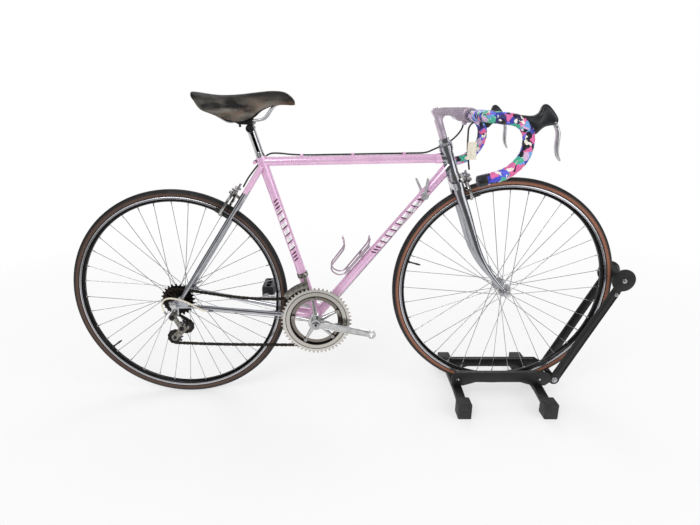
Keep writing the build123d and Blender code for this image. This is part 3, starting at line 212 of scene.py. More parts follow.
def opened(thing: Thing) -> None:
    """Choose an object and enter edit mode with the whole of it selected."""
    choose(thing)
    bpy.ops.object.mode_set(mode="EDIT")
    bpy.ops.mesh.select_all(action="SELECT")


def settle(thing: Thing) -> Thing:
    """Put an object's place into its mesh, so that it sits at the origin."""
    choose(thing)
    bpy.ops.object.transform_apply(location=True, rotation=True, scale=True)
    return thing


def tidy_faces(thing: Thing, close: bool = False) -> Thing:
    """Merge doubled points, close open ends if asked, and point every face outwards.

    Args:
        thing: Mesh object to clean.
        close: Whether open edges are filled.

    Returns:
        The same object.
    """
    opened(thing)
    bpy.ops.mesh.remove_doubles(threshold=1e-6)
    if close:
        bpy.ops.mesh.select_all(action="SELECT")
        bpy.ops.mesh.fill_holes(sides=0)
    bpy.ops.mesh.select_all(action="SELECT")
    bpy.ops.mesh.normals_make_consistent(inside=False)
    bpy.ops.object.mode_set(mode="OBJECT")
    return thing


def smoothed(thing: Thing, angle: float = 40.0) -> Thing:
    """Shade faces smooth across edges flatter than an angle in degrees."""
    choose(thing)
    bpy.ops.object.shade_smooth_by_angle(angle=radians(angle))
    return thing


def bevelled(thing: Thing, width: float, segments: int = 2, angle: float = 32.0) -> Thing:
    """Round an object's sharp edges.

    Args:
        thing: Mesh object.
        width: Bevel width in millimetres.
        segments: Facets across the bevel.
        angle: Edges sharper than this many degrees are rounded.

    Returns:
        The same object.
    """
    choose(thing)
    bevel = thing.modifiers.new("rounding", "BEVEL")
    bevel.width = width * MM
    bevel.segments = segments
    bevel.limit_method = "ANGLE"
    bevel.angle_limit = radians(angle)
    bevel.use_clamp_overlap = True
    bpy.ops.object.modifier_apply(modifier=bevel.name)
    return smoothed(thing)


def subdivided(thing: Thing, levels: int) -> Thing:
    """Smooth a coarse form with a subdivision surface that is then applied."""
    choose(thing)
    surface = thing.modifiers.new("smooth form", "SUBSURF")
    surface.levels = levels
    surface.render_levels = levels
    bpy.ops.object.modifier_apply(modifier=surface.name)
    bpy.ops.object.shade_smooth()
    return thing


def joined(parts: Sequence[Thing]) -> Thing:
    """Join finished meshes into the first of them."""
    choose(parts[0])
    for part in parts:
        part.select_set(True)
    if len(parts) > 1:
        bpy.ops.object.join()
    return bpy.context.view_layer.objects.active


def rod(
    start: Vector,
    end: Vector,
    radius: float,
    end_radius: float | None = None,
    sides: int = 24,
    rounding: float = 0.0,
) -> Thing:
    """Round bar or taper between two world points.

    Args:
        start: World point at the first end.
        end: World point at the second end.
        radius: Radius at the start in millimetres.
        end_radius: Radius at the end, or None for a plain bar.
        sides: Facets round the bar.
        rounding: Bevel of its ends in millimetres.

    Returns:
        The bar.
    """
    run = end - start
    deselect()
    bpy.ops.mesh.primitive_cone_add(
        vertices=sides,
        radius1=radius * MM,
        radius2=(radius if end_radius is None else end_radius) * MM,
        depth=run.length,
        location=start + run / 2,
        rotation=run.to_track_quat("Z", "Y").to_euler(),
    )
    bar = settle(bpy.context.object)
    return bevelled(bar, rounding) if rounding else smoothed(bar)


def cross_rod(middle: Vector, half_length: float, radius: float, **options: float) -> Thing:
    """Round bar along the bicycle's width, centred on a world point."""
    reach = LEFTWARD * half_length * MM
    return rod(middle - reach, middle + reach, radius, **options)


def turned(profile: Outline, centre: Vector, axis: Vector, steps: int = 32, closed: bool = False) -> Thing:
    """Turn a profile about an axis, as on a lathe.

    Args:
        profile: (radius, distance along the axis) points in millimetres.
        centre: World point that the distances start from.
        axis: World direction of the axis.
        steps: Facets round the turning.
        closed: Whether the profile is a closed ring that stays off the axis.

    Returns:
        The turned mesh.
    """
    across = axis.orthogonal().normalized()
    deselect()
    bpy.ops.mesh.primitive_circle_add(vertices=len(profile), radius=1.0)
    blank = bpy.context.object
    for vertex, (radius, along) in zip(blank.data.vertices, profile):
        vertex.co = centre + (across * radius + axis * along) * MM
    blank.matrix_world = Matrix.Identity(4)
    bpy.ops.object.mode_set(mode="EDIT")
    bpy.ops.mesh.select_mode(type="EDGE")
    if not closed:
        bpy.ops.mesh.select_all(action="DESELECT")
        bpy.ops.object.mode_set(mode="OBJECT")
        last = len(profile) - 1
        for edge in blank.data.edges:
            edge.select = set(edge.vertices) == {0, last}
        bpy.ops.object.mode_set(mode="EDIT")
        bpy.ops.mesh.delete(type="EDGE")
    bpy.ops.mesh.select_all(action="SELECT")
    bpy.ops.mesh.spin(steps=steps, angle=2 * pi, center=centre, axis=axis)
    bpy.ops.mesh.select_mode(type="VERT")
    bpy.ops.object.mode_set(mode="OBJECT")
    return smoothed(tidy_faces(blank), 30.0)


def plate(corners: Sequence[Vector], depth: Vector, rounding: float = 0.8, segments: int = 2) -> Thing:
    """Flat plate of a closed outline of world points, pulled out by a world vector."""
    deselect()
    bpy.ops.mesh.primitive_circle_add(vertices=len(corners), radius=1.0, fill_type="NGON")
    blank = bpy.context.object
    for vertex, corner in zip(blank.data.vertices, corners):
        vertex.co = corner
    blank.matrix_world = Matrix.Identity(4)
    opened(blank)
    bpy.ops.mesh.extrude_region_move(TRANSFORM_OT_translate={"value": depth})
    bpy.ops.object.mode_set(mode="OBJECT")
    tidy_faces(blank)
    return bevelled(blank, rounding, segments) if rounding else smoothed(blank)


def rounded_outline(points: Outline, radius: float, steps: int = 4) -> list[tuple[float, float]]:
    """Outline with its corners rounded by an arc-like curve.

    Args:
        points: Corner points.
        radius: How far from a corner its rounding starts.
        steps: Points along each rounded corner.

    Returns:
        The longer outline.
    """
    soft = []
    count = len(points)
    for index, point in enumerate(points):
        here = Vector(point)
        before = Vector(points[index - 1]) - here
        after = Vector(points[(index + 1) % count]) - here
        reach = min(radius, before.length * 0.45, after.length * 0.45)
        start = here + before.normalized() * reach
        end = here + after.normalized() * reach
        for step in range(steps + 1):
            share = step / steps
            spot = start * (1 - share) ** 2 + here * 2 * share * (1 - share) + end * share ** 2
            soft.append((spot.x, spot.y))
    return soft


def side_plate(
    outline: Outline, left: float, thickness: float, corner: float = 0.0, rounding: float = 0.8
) -> Thing:
    """Plate whose outline is (forward, up) on the level bicycle.

    Args:
        outline: Corner points in millimetres.
        left: The plate's middle, to the left.
        thickness: Its thickness across the bicycle.
        corner: Rounding of the outline's corners.
        rounding: Bevel of its edges.

    Returns:
        The plate.
    """
    points = rounded_outline(outline, corner) if corner else outline
    corners = [BIKE.at(forward, left - thickness / 2, up) for forward, up in points]
    return plate(corners, LEFTWARD * thickness * MM, rounding)


def laid_grid(rows: int, columns: int, place: Callable[[float, float], Vector], close: bool = True) -> Thing:
    """Grid whose points are laid by a rule, with its seams merged and its ends closed.

    Args:
        rows: Faces along the first share.
        columns: Faces along the second share.
        place: World point for two shares from 0 to 1.
        close: Whether open ends are filled.

    Returns:
        The surface, with a UV map of the two shares.
    """
    deselect()
    bpy.ops.mesh.primitive_grid_add(x_subdivisions=rows, y_subdivisions=columns, size=1.0, calc_uvs=True)
    sheet = bpy.context.object
    for vertex in sheet.data.vertices:
        vertex.co = place(vertex.co.x + 0.5, vertex.co.y + 0.5)
    tidy_faces(sheet, close)
    return smoothed(sheet, 50.0)


def eased(rows: Sequence[Sequence[float]], share: float) -> list[float]:
    """Row of numbers a share of the way through a list of rows, smoothly between them.

    Args:
        rows: Rows of equal length.
        share: From 0 at the first row to 1 at the last.

    Returns:
        The row at that share.
    """
    spot = share * (len(rows) - 1)
    index = min(int(spot), len(rows) - 2)
    t = spot - index
    near = [rows[min(max(index + step, 0), len(rows) - 1)] for step in (-1, 0, 1, 2)]
    return [
        0.5 * (2 * b + (c - a) * t + (2 * a - 5 * b + 4 * c - d) * t ** 2 + (3 * b - a - 3 * c + d) * t ** 3)
        for a, b, c, d in zip(*near)
    ]


def facing_up(thing: Thing) -> Thing:
    """Turn an open sheet's faces so that most of them look up."""
    if sum(face.normal.z * face.area for face in thing.data.polygons) < 0:
        opened(thing)
        bpy.ops.mesh.flip_normals()
        bpy.ops.object.mode_set(mode="OBJECT")
    return thing


def signed_power(value: float, power: float) -> float:
    """Power of a number's size, with its sign kept."""
    return abs(value) ** power * (1 if value >= 0 else -1)


@dataclass(frozen=True)
class Station:
    """One section of a lofted form: its centre and its two half axes, in world metres."""

    centre: Vector
    first: Vector
    second: Vector


def lofted(
    stations: Sequence[Station], columns: int = 12, squareness: float = 2.0, levels: int = 2
) -> Thing:
    """Closed form through rounded sections.

    Args:
        stations: Sections from one end to the other.
        columns: Points round a section.
        squareness: 2 for an ellipse, more for a boxier section.
        levels: Subdivision levels that smooth the form.

    Returns:
        The form.
    """

    def place(along: float, around: float) -> Vector:
        """Point round the section at a share of the form."""
        station = stations[round(along * (len(stations) - 1))]
        angle = 2 * pi * around
        first, second = (signed_power(side, 2 / squareness) for side in (cos(angle), sin(angle)))
        return station.centre + station.first * first + station.second * second

    return subdivided(laid_grid(len(stations) - 1, columns, place), levels)


class Route:
    """A run of points with round bends, and the frame of a section anywhere along it."""

    def __init__(self, corners: Sequence[Vector], radii: Sequence[float], first: Vector) -> None:
        """Round the corners and measure the run.

        Args:
            corners: World points.
            radii: Bend radius in millimetres at each inner point.
            first: A world direction that a section's first axis starts near.
        """
        self.points = [corners[0]]
        for before, corner, after, radius in zip(corners, corners[1:], corners[2:], radii):
            self._bend(before, corner, after, radius * MM)
        self.points.append(corners[-1])
        self.lengths = [0.0]
        for start, end in zip(self.points, self.points[1:]):
            self.lengths.append(self.lengths[-1] + (end - start).length)
        self.firsts = [first]
        for index in range(1, len(self.points)):
            turn = self._run(index - 1).rotation_difference(self._run(index))
            self.firsts.append(turn @ self.firsts[-1])

    def _bend(self, before: Vector, corner: Vector, after: Vector, radius: float) -> None:
        """Add the points of one round bend."""
        back = (before - corner).normalized()
        ahead = (after - corner).normalized()
        half = back.angle(ahead) / 2
        middle = corner + (back + ahead).normalized() * radius / sin(half)
        spoke = corner + back * radius / tan(half) - middle
        normal = spoke.cross(corner + ahead * radius / tan(half) - middle).normalized()
        turn = pi - 2 * half
        steps = max(3, ceil(turn / radians(6)))
        for step in range(steps + 1):
            self.points.append(middle + Quaternion(normal, turn * step / steps) @ spoke)

    def _run(self, index: int) -> Vector:
        """Direction of the run that starts at a point."""
        index = min(index, len(self.points) - 2)
        return (self.points[index + 1] - self.points[index]).normalized()

    @property
    def length(self) -> float:
        """Length of the whole run in metres."""
        return self.lengths[-1]

    def section(self, distance: float) -> tuple[Vector, Vector, Vector]:
        """Centre and two cross axes of a section.

        Args:
            distance: How far along the run, in metres.

        Returns:
            The section's centre, first axis and second axis.
        """
        index = 0
        while index < len(self.points) - 2 and self.lengths[index + 1] < distance:
            index += 1
        span = self.lengths[index + 1] - self.lengths[index]
        share = (distance - self.lengths[index]) / span if span else 0.0
        centre = self.points[index].lerp(self.points[index + 1], share)
        run = self._run(index).lerp(self._run(index + 1), share).normalized()
        first = self.firsts[index].lerp(self.firsts[index + 1], share)
        first = (first - run * first.dot(run)).normalized()
        return centre, first, run.cross(first)


def swept(route: Route, rows: int, columns: int, radius: Callable[[float, float], float]) -> Thing:
    """Tube along a route whose radius in millimetres is a rule of (share along, angle)."""

    def place(along: float, around: float) -> Vector:
        """Point of the tube's skin."""
        centre, first, second = route.section(along * route.length)
        angle = 2 * pi * around
        reach = radius(along, angle) * MM
        return centre + (first * cos(angle) + second * sin(angle)) * reach

    return laid_grid(rows, columns, place)


def cord_curve(points: Sequence[Vector], radius: float) -> Thing:
    """Smooth cable as a curve whose control points are world points."""
    deselect()
    bpy.ops.curve.primitive_nurbs_path_add()
    cord = bpy.context.object
    spline = cord.data.splines[0]
    spline.points.add(len(points) - len(spline.points))
    for knot, point in zip(spline.points, points):
        knot.co = (*point, 1.0)
    spline.order_u = 3
    spline.use_endpoint_u = True
    spline.resolution_u = 6
    cord.matrix_world = Matrix.Identity(4)
    cord.data.bevel_depth = radius * MM
    cord.data.bevel_resolution = 3
    cord.data.use_fill_caps = True
    return cord


def smooth_cord(points: Sequence[Vector], radius: float) -> Thing:
    """Smooth cable turned into a mesh."""
    choose(cord_curve(points, radius))
    bpy.ops.object.convert(target="MESH")
    return smoothed(tidy_faces(bpy.context.object), 60.0)


def softened(node: str, rounding: float, angle: float = 32.0, segments: int = 2) -> Thing:
    """Copy of a CAD node with its points merged and its edges rounded."""
    mesh = frame["nodes"][node].data.copy()
    twin = bpy.data.objects.new(f"{node}_soft", mesh)
    bpy.context.scene.collection.objects.link(twin)
    choose(twin)
    bpy.ops.mesh.customdata_custom_splitnormals_clear()
    opened(twin)
    bpy.ops.mesh.remove_doubles(threshold=1e-6)
    bpy.ops.mesh.dissolve_limited(angle_limit=radians(0.6))
    bpy.ops.object.mode_set(mode="OBJECT")
    return bevelled(twin, rounding, segments, angle)


# ---------------------------------------------------------------- finishes
def colour(code: str) -> Colour:
    """Linear colour of a six-digit paint code."""
    channels = [int(code[start:start + 2], 16) / 255 for start in (0, 2, 4)]
    linear = [(c / 12.92 if c <= 0.04045 else ((c + 0.055) / 1.055) ** 2.4) for c in channels]
    return (*linear, 1.0)


class Bench:
    """The nodes of one tree as they are put together."""

    def __init__(self, tree: bpy.types.NodeTree) -> None:
        """Work on a tree that is there already."""
        self.tree = tree

    def node(self, kind: str, inputs: dict[str | int, object], **settings: object) -> bpy.types.Node:
        """Add a node.

        Args:
            kind: Node type without its common prefix.
            inputs: Value or socket for each input, by name or number.
            settings: Properties of the node.

        Returns:
            The node.
        """
        made = self.tree.nodes.new(f"ShaderNode{kind}")
        for key, value in settings.items():
            setattr(made, key, value)
        for key, value in inputs.items():
            self.feed(made.inputs[key], value)
        return made

    def feed(self, socket: Socket, value: object) -> None:
        """Set a socket to a value, or link another socket to it."""
        if isinstance(value, Socket):
            self.tree.links.new(value, socket)
        else:
            socket.default_value = value

    def math(self, operation: str, first: object, second: object = 0.0) -> Socket:
        """Result of a sum on one or two numbers."""
        return self.node("Math", {0: first, 1: second}, operation=operation).outputs[0]

    def ramp(self, factor: object, stops: Sequence[tuple[float, Colour]], sharp: bool = False) -> Socket:
        """Colours along a factor from 0 to 1."""
        made = self.node("ValToRGB", {"Fac": factor})
        band = made.color_ramp
        band.interpolation = "CONSTANT" if sharp else "LINEAR"
        while len(band.elements) < len(stops):
            band.elements.new(1.0)
        for element, (position, tint) in zip(band.elements, stops):
            element.position = position
            element.color = tint
        return made.outputs["Color"]

    def mix(self, factor: object, first: object, second: object, blend: str = "MIX") -> Socket:
        """Blend of two colours."""
        inputs = {0: factor, 6: first, 7: second}
        return self.node("Mix", inputs, data_type="RGBA", blend_type=blend).outputs[2]

    def span(self, value: object, low: float, high: float, new_low: float, new_high: float) -> Socket:
        """A number moved from one range to another, and kept inside it."""
        inputs = {"Value": value, 1: low, 2: high, 3: new_low, 4: new_high}
        return self.node("MapRange", inputs).outputs[0]


class Recipe(Bench):
    """The nodes of one material."""

    def __init__(self, name: str) -> None:
        """Start from a bare shader and the object's own coordinates."""
        self.material = bpy.data.materials.new(name)
        self.material.use_nodes = True
        super().__init__(self.material.node_tree)
        self.shader = self.tree.nodes["Principled BSDF"]
        self.where = self.tree.nodes.new("ShaderNodeTexCoord")

    @property
    def place(self) -> Socket:
        """The object's own coordinates, in metres."""
        return self.where.outputs["Object"]

    @property
    def wrap(self) -> Socket:
        """The piece's UV map."""
        return self.where.outputs["UV"]

    def set(self, **sockets: object) -> None:
        """Set shader sockets; an underscore in a name stands for a space."""
        for name, value in sockets.items():
            self.feed(self.shader.inputs[name.replace("_", " ")], value)

    def noise(
        self, scale: float, detail: float = 3.0, where: object = None, stretch: object = None
    ) -> Socket:
        """Cloudy noise, its scale in features per metre."""
        spot = self.place if where is None else where
        if stretch is not None:
            spot = self.node("Mapping", {"Vector": spot, "Scale": stretch}).outputs[0]
        return self.node("TexNoise", {"Vector": spot, "Scale": scale, "Detail": detail}).outputs[0]

    def cells(self, scale: float, where: object = None, output: str = "Color") -> Socket:
        """Output of a cell pattern."""
        spot = self.place if where is None else where
        return self.node("TexVoronoi", {"Vector": spot, "Scale": scale}).outputs[output]

    def local(self, origin: Vector, turn: Euler = LEVEL) -> bpy.types.Node:
        """Coordinates from an origin along turned axes, as a node with X, Y and Z outputs."""
        moved = self.node(
            "Mapping",
            {"Vector": self.place, "Location": origin, "Rotation": turn},
            vector_type="TEXTURE",
        )
        return self.node("SeparateXYZ", {0: moved.outputs[0]})

    def reach(self, spot: bpy.types.Node) -> Socket:
        """Distance in metres from an axis across the bicycle, for coordinates split into X, Y and Z."""
        flat = self.node("CombineXYZ", {0: spot.outputs[0], 2: spot.outputs[2]})
        return self.node("VectorMath", {0: flat.outputs[0]}, operation="LENGTH").outputs["Value"]

    def bump(self, height: object, strength: float, distance: float) -> None:
        """Raise the surface by a height, its distance in millimetres."""
        inputs = {"Height": height, "Strength": strength, "Distance": distance * MM}
        chained = self.shader.inputs["Normal"].links
        if chained:
            inputs["Normal"] = chained[0].from_socket
        raised = self.node("Bump", inputs)
        self.feed(self.shader.inputs["Normal"], raised.outputs[0])


@dataclass(frozen=True)
class Finish:
    """A surface finish: two tones that mingle, its gloss and its grain."""

    name: str
    slot: str
    tone: str
    second_tone: str
    metallic: float = 0.0
    roughness: float = 0.4
    roughness_spread: float = 0.1
    patch: float = 30.0
    grain: float = 900.0
    grain_depth: float = 0.0
    coat: float = 0.0
    sheen: float = 0.0

    def material(self) -> bpy.types.Material:
        """The finish's material, made once."""
        name = f"{self.name}_finish"
        made = bpy.data.materials.get(name)
        if made:
            return made
        recipe = Recipe(name)
        recipe.set(Metallic=self.metallic, Coat_Weight=self.coat, Coat_Roughness=0.06, Sheen_Weight=self.sheen)
        recipe.set(Base_Color=self.pattern(recipe))
        low = max(0.02, self.roughness - self.roughness_spread)
        high = self.roughness + self.roughness_spread
        recipe.set(Roughness=recipe.span(recipe.noise(self.patch * 3.1), 0.3, 0.7, low, high))
        if self.grain_depth:
            recipe.bump(recipe.noise(self.grain, 1.0), 0.18, self.grain_depth)
        self.detail(recipe)
        return recipe.material

    def pattern(self, recipe: Recipe) -> object:
        """Base colour of the finish."""
        return self.tones(recipe)

    def tones(self, recipe: Recipe) -> Socket:
        """The two tones mingled in soft patches."""
        share = recipe.span(recipe.noise(self.patch), 0.35, 0.7, 0.0, 1.0)
        return recipe.mix(share, colour(self.tone), colour(self.second_tone))

    def detail(self, recipe: Recipe) -> None:
        """Add what one finish alone has."""


@dataclass(frozen=True)
class RingedFinish(Finish):
    """A finish in rings round a wheel's axle, each ring from a radius outwards."""

    centre: Vector = field(default_factory=Vector)
    rings: tuple[tuple[float, str], ...] = ()
    tread: bool = False
    wear: float = 0.3

    RING_SPAN = 400.0

    def pattern(self, recipe: Recipe) -> object:
        """Rings of colour, each a little uneven."""
        share = recipe.math("DIVIDE", recipe.reach(recipe.local(self.centre)), self.RING_SPAN * MM)
        stops = [(reach / self.RING_SPAN, colour(code)) for reach, code in self.rings]
        rings = recipe.ramp(share, stops, sharp=True)
        wear = recipe.span(recipe.noise(self.patch), 0.3, 0.75, 0.0, self.wear)
        return recipe.mix(wear, rings, colour(self.second_tone))

    def detail(self, recipe: Recipe) -> None:
        """Fine ribs across a tread."""
        if self.tread:
            spot = recipe.local(self.centre)
            around = recipe.math("ARCTAN2", spot.outputs[2], spot.outputs[0])
            lean = recipe.math("MULTIPLY", recipe.math("ABSOLUTE", spot.outputs[1]), 2500.0)
            wave = recipe.math("SINE", recipe.math("ADD", recipe.math("MULTIPLY", around, 620.0), lean))
            recipe.bump(wave, 0.12, 0.2)


@dataclass(frozen=True)
class StripedPaint(Finish):
    """Frame paint with rows of plain slanted bars on both sides of a tube."""

    origin: Vector = field(default_factory=Vector)
    run: Vector = field(default_factory=lambda: Vector((1, 0, 0)))
    start: float = 0.0
    finish: float = 1.0
    bar_tone: str = "F7F1F5"
    edge_tone: str = "4A1730"
    pitch: float = 23.0
    half_height: float = 9.0
    flourish: float = 34.0

    def pattern(self, recipe: Recipe) -> object:
        """Slanted bars between two flourishes of thin darker ones."""
        turn = Matrix((self.run, LEFTWARD, self.run.cross(LEFTWARD))).transposed().to_euler()
        spot = recipe.local(self.origin, turn)
        along, height = spot.outputs[0], spot.outputs[2]
        paint = self.tones(recipe)
        slant = recipe.math("ADD", along, recipe.math("MULTIPLY", height, 0.45))
        inside = self.window(recipe, slant, self.start + self.flourish, self.finish - self.flourish)
        outside = recipe.math("SUBTRACT", self.window(recipe, slant, self.start, self.finish), inside)
        band = recipe.math("LESS_THAN", recipe.math("ABSOLUTE", height), self.half_height * MM)
        thin = recipe.math("LESS_THAN", recipe.math("ABSOLUTE", height), self.half_height * 0.8 * MM)
        phase = recipe.math("FRACT", recipe.math("DIVIDE", slant, self.pitch * MM))
        bars = recipe.math("MULTIPLY", recipe.math("MULTIPLY", inside, band), recipe.math("LESS_THAN", phase, 0.74))
        edges = recipe.math("MULTIPLY", bars, recipe.math("GREATER_THAN", phase, 0.56))
        fine = recipe.math("FRACT", recipe.math("DIVIDE", slant, self.pitch * 0.45 * MM))
        marks = recipe.math("MULTIPLY", recipe.math("MULTIPLY", outside, thin), recipe.math("LESS_THAN", fine, 0.45))
        barred = recipe.mix(bars, paint, colour(self.bar_tone))
        edged = recipe.mix(edges, barred, colour(self.edge_tone))
        return recipe.mix(marks, edged, colour(self.edge_tone))

    def window(self, recipe: Recipe, along: object, start: float, finish: float) -> Socket:
        """1 between two distances along the tube, in millimetres, and 0 outside them."""
        after = recipe.math("GREATER_THAN", along, start * MM)
        before = recipe.math("LESS_THAN", along, finish * MM)
        return recipe.math("MULTIPLY", after, before)


@dataclass(frozen=True)
class DippedChrome(Finish):
    """Chrome below a height on the bicycle and frame paint above it."""

    origin: Vector = field(default_factory=Vector)
    run: Vector = field(default_factory=lambda: Vector((0, 0, 1)))
    paint_tone: str = "E2A3CE"

    def side_of(self, recipe: Recipe) -> Socket:
        """1 in the painted part and 0 in the chromed part."""
        turn = self.run.to_track_quat("Z", "Y").to_euler()
        spot = recipe.local(self.origin, turn)
        return recipe.math("GREATER_THAN", spot.outputs[2], 0.0)

    def pattern(self, recipe: Recipe) -> object:
        """Paint or chrome by place."""
        return recipe.mix(self.side_of(recipe), self.tones(recipe), colour(self.paint_tone))

    def detail(self, recipe: Recipe) -> None:
        """The paint is less of a metal than the chrome."""
        recipe.set(Metallic=recipe.span(self.side_of(recipe), 0.0, 1.0, self.metallic, 0.25))


@dataclass(frozen=True)
class PatchworkTape(Finish):
    """Printed bar tape: bright irregular patches with pale splashes and dark edges."""

    patches: tuple[str, ...] = ()
    splash: str = "F3EFE2"

    def pattern(self, recipe: Recipe) -> object:
        """Cells of flat colour, some of them splashed."""
        warp = recipe.node("TexNoise", {"Vector": recipe.place, "Scale": 60.0, "Detail": 1.0})
        bent = recipe.node("VectorMath", {0: warp.outputs["Color"], 1: (0.012, 0.012, 0.012)}, operation="MULTIPLY")
        spot = recipe.node("VectorMath", {0: recipe.place, 1: bent.outputs[0]}, operation="ADD").outputs[0]
        pick = recipe.node("SeparateColor", {0: recipe.cells(56.0, spot)}).outputs[0]
        count = len(self.patches)
        stops = [(index / count, colour(code)) for index, code in enumerate(self.patches)]
        patches = recipe.ramp(pick, stops, sharp=True)
        fleck = recipe.node("SeparateColor", {0: recipe.cells(105.0, spot)}).outputs[1]
        dark = recipe.mix(recipe.math("GREATER_THAN", fleck, 0.91), patches, colour("15131C"))
        pale = recipe.math("LESS_THAN", recipe.noise(80.0, 2.0, spot), 0.375)
        return recipe.mix(pale, dark, colour(self.splash))

    def detail(self, recipe: Recipe) -> None:
        """A fine woven grain."""
        recipe.bump(recipe.cells(900.0, output="Distance"), 0.3, 0.2)


@dataclass(frozen=True)
class WornLeather(Finish):
    """Old leather, scuffed pale along its flanks, with a pebbled grain and scratches."""

    scuff_tone: str = "8C857B"
    rust_tone: str = "6E523F"

    def pattern(self, recipe: Recipe) -> object:
        """Leather under scuffs and brown worn-through patches."""
        base = self.tones(recipe)
        height = recipe.local(BIKE.at(250, 0, 580)).outputs[2]
        flank = recipe.span(height, 0.002, -0.026, 0.05, 1.0)
        marks = recipe.span(recipe.noise(24.0, 6.0, stretch=(0.6, 1.0, 1.8)), 0.40, 0.66, 0.0, 0.72)
        rubbed = recipe.mix(recipe.math("MULTIPLY", marks, flank), base, colour(self.scuff_tone))
        worn = recipe.span(recipe.noise(17.0, 5.0, stretch=(0.7, 1.0, 2.2)), 0.56, 0.70, 0.0, 0.7)
        bare = recipe.math("MULTIPLY", worn, flank)
        return recipe.mix(bare, rubbed, colour(self.rust_tone))

    def detail(self, recipe: Recipe) -> None:
        """Pebbled grain with long scratches, less glossy than paint."""
        recipe.set(Specular_IOR_Level=0.3)
        recipe.bump(recipe.cells(1400.0, output="Distance"), 0.25, 0.25)
        recipe.bump(recipe.noise(60.0, 8.0, stretch=(1.0, 6.0, 9.0)), 0.3, 0.5)


@dataclass(frozen=True)
class FlutedMetal(Finish):
    """Polished metal with black grooves on its two sides, laid out on the UV map."""

    groove_tone: str = "101012"
    low: float = 0.41
    high: float = 0.915

    def pattern(self, recipe: Recipe) -> object:
        """Polish with dark grooves."""
        wrap = recipe.node("SeparateXYZ", {0: recipe.wrap})
        lanes = recipe.math("FRACT", recipe.math("MULTIPLY", wrap.outputs[1], 2.0))
        lane = recipe.math("LESS_THAN", recipe.math("ABSOLUTE", recipe.math("SUBTRACT", lanes, 0.5)), 0.125)
        above = recipe.math("GREATER_THAN", wrap.outputs[0], self.low)
        below = recipe.math("LESS_THAN", wrap.outputs[0], self.high)
        groove = recipe.math("MULTIPLY", lane, recipe.math("MULTIPLY", above, below))
        return recipe.mix(groove, self.tones(recipe), colour(self.groove_tone))


@dataclass(frozen=True)
class RingMetal(Finish):
    """Crankset metal: bright arms and spider, and darker rings outside a radius, with two thin dark bands of painted
    shade where the ring face has grooves.
    """

    centre: Vector = field(default_factory=Vector)
    # bands by radius in mm; the dark ones from 77 and from 91.5 are painted shade in the ring face's grooves
    bands: tuple[tuple[float, str], ...] = (
        (0.0, "857E76"), (77.0, "2A2724"), (80.5, "C4C0B9"), (91.5, "45413D"), (94.0, "D3D0CA"), (101.0, "BEB9B1"),
    )
    ring_r: float = 64.0
    arm_left: float = -54.0

    BAND_SPAN = 200.0

    def pattern(self, recipe: Recipe) -> object:
        """Two metals by place."""
        spot = recipe.local(self.centre)
        reach = recipe.reach(spot)
        outside = recipe.math("GREATER_THAN", reach, self.ring_r * MM)
        inside = recipe.math("GREATER_THAN", spot.outputs[1], self.arm_left * MM)
        share = recipe.math("DIVIDE", reach, self.BAND_SPAN * MM)
        bands = recipe.ramp(share, [(edge / self.BAND_SPAN, colour(code)) for edge, code in self.bands], sharp=True)
        return recipe.mix(recipe.math("MULTIPLY", outside, inside), self.tones(recipe), bands)


PAINT = Finish("frame_paint", "frame_paint", "EEC4E2", "E4B5D9", 0.25, 0.24, 0.05, 18.0, coat=0.9)
CHROME = Finish("chrome", "chrome", "BABBC0", "A2A3A8", 1.0, 0.09, 0.02, 30.0)
STEM_SATIN = Finish("stem_satin", "stem_satin", "D6C7D5", "C3B4C2", 0.55, 0.26, 0.04, 60.0)
ALLOY = Finish("alloy", "alloy", "D8D8DA", "C2C2C4", 0.85, 0.24, 0.05, 60.0)
DULL_ALLOY = Finish("dull_alloy", "alloy", "9C9992", "66625C", 0.95, 0.3, 0.08, 120.0, 1200.0, 0.006)
STEEL = Finish("steel", "steel", "BFBFC2", "A4A4A7", 1.0, 0.18, 0.05, 80.0, 1200.0, 0.003)
SPROCKET = Finish("sprocket_steel", "sprocket_steel", "2E2A27", "171514", 0.8, 0.42, 0.12, 180.0, 1500.0, 0.05)
HOOD = Finish("hood_rubber", "hood_rubber", "1D2024", "121417", 0.0, 0.31, 0.08, 70.0, 2400.0, 0.05)
LACQUER = Finish("cable_housing", "cable_housing", "1D1D20", "2B2B2E", 0.0, 0.34, 0.06, 200.0, 3000.0, 0.02)
CREAM_HOUSING = Finish("cream_housing", "cable_housing", "E9E1CF", "CFC6B2", 0.0, 0.4, 0.08, 150.0, 3000.0, 0.02)
PEDAL_PLASTIC = Finish("pedal_plastic", "pedal_plastic", "25272A", "17181A", 0.0, 0.5, 0.1, 120.0, 1600.0, 0.1)
STAND_PAINT = Finish("stand_paint", "stand_paint", "09090A", "0F0F11", 0.0, 0.5, 0.07, 45.0, 2000.0, 0.06)
FOOT_RUBBER = Finish("foot_rubber", "foot_rubber", "1C1C1D", "2A2A2B", 0.0, 0.66, 0.08, 80.0, 1500.0, 0.12)
PAPER = Finish("tag_paper", "tag_paper", "EDE7D6", "DBD2BD", 0.0, 0.85, 0.05, 90.0, 700.0, 0.12)
TAPE = PatchworkTape(
    "bar_tape", "bar_tape", "3F45B8", "2E2F86", 0.0, 0.42, 0.08, 40.0,
    patches=(
        "333AA8", "1A1828", "E06BA6", "5A62DC", "45B394", "2D2666", "6B70E6", "D6B4D6", "464BCB", "DE649F", "282452",
        "6FA3DC",
    ),
)
SATIN_ALLOY = Finish("satin_alloy", "alloy", "D2D2D4", "B9B9BB", 0.7, 0.3, 0.06, 80.0)
SLEEVE = Finish("bar_sleeve", "bar_tape", "6E5F7E", "4B4260", 0.0, 0.5, 0.1, 120.0, 900.0, 0.15)
BLACK_METAL = Finish("black_metal", "alloy", "1A1A1C", "29292B", 0.5, 0.38, 0.08, 120.0, 1800.0, 0.03)
BRAKE_ALLOY = Finish("brake_alloy", "alloy", "BDBBB8", "94918D", 1.0, 0.2, 0.06, 110.0, 1200.0, 0.003)
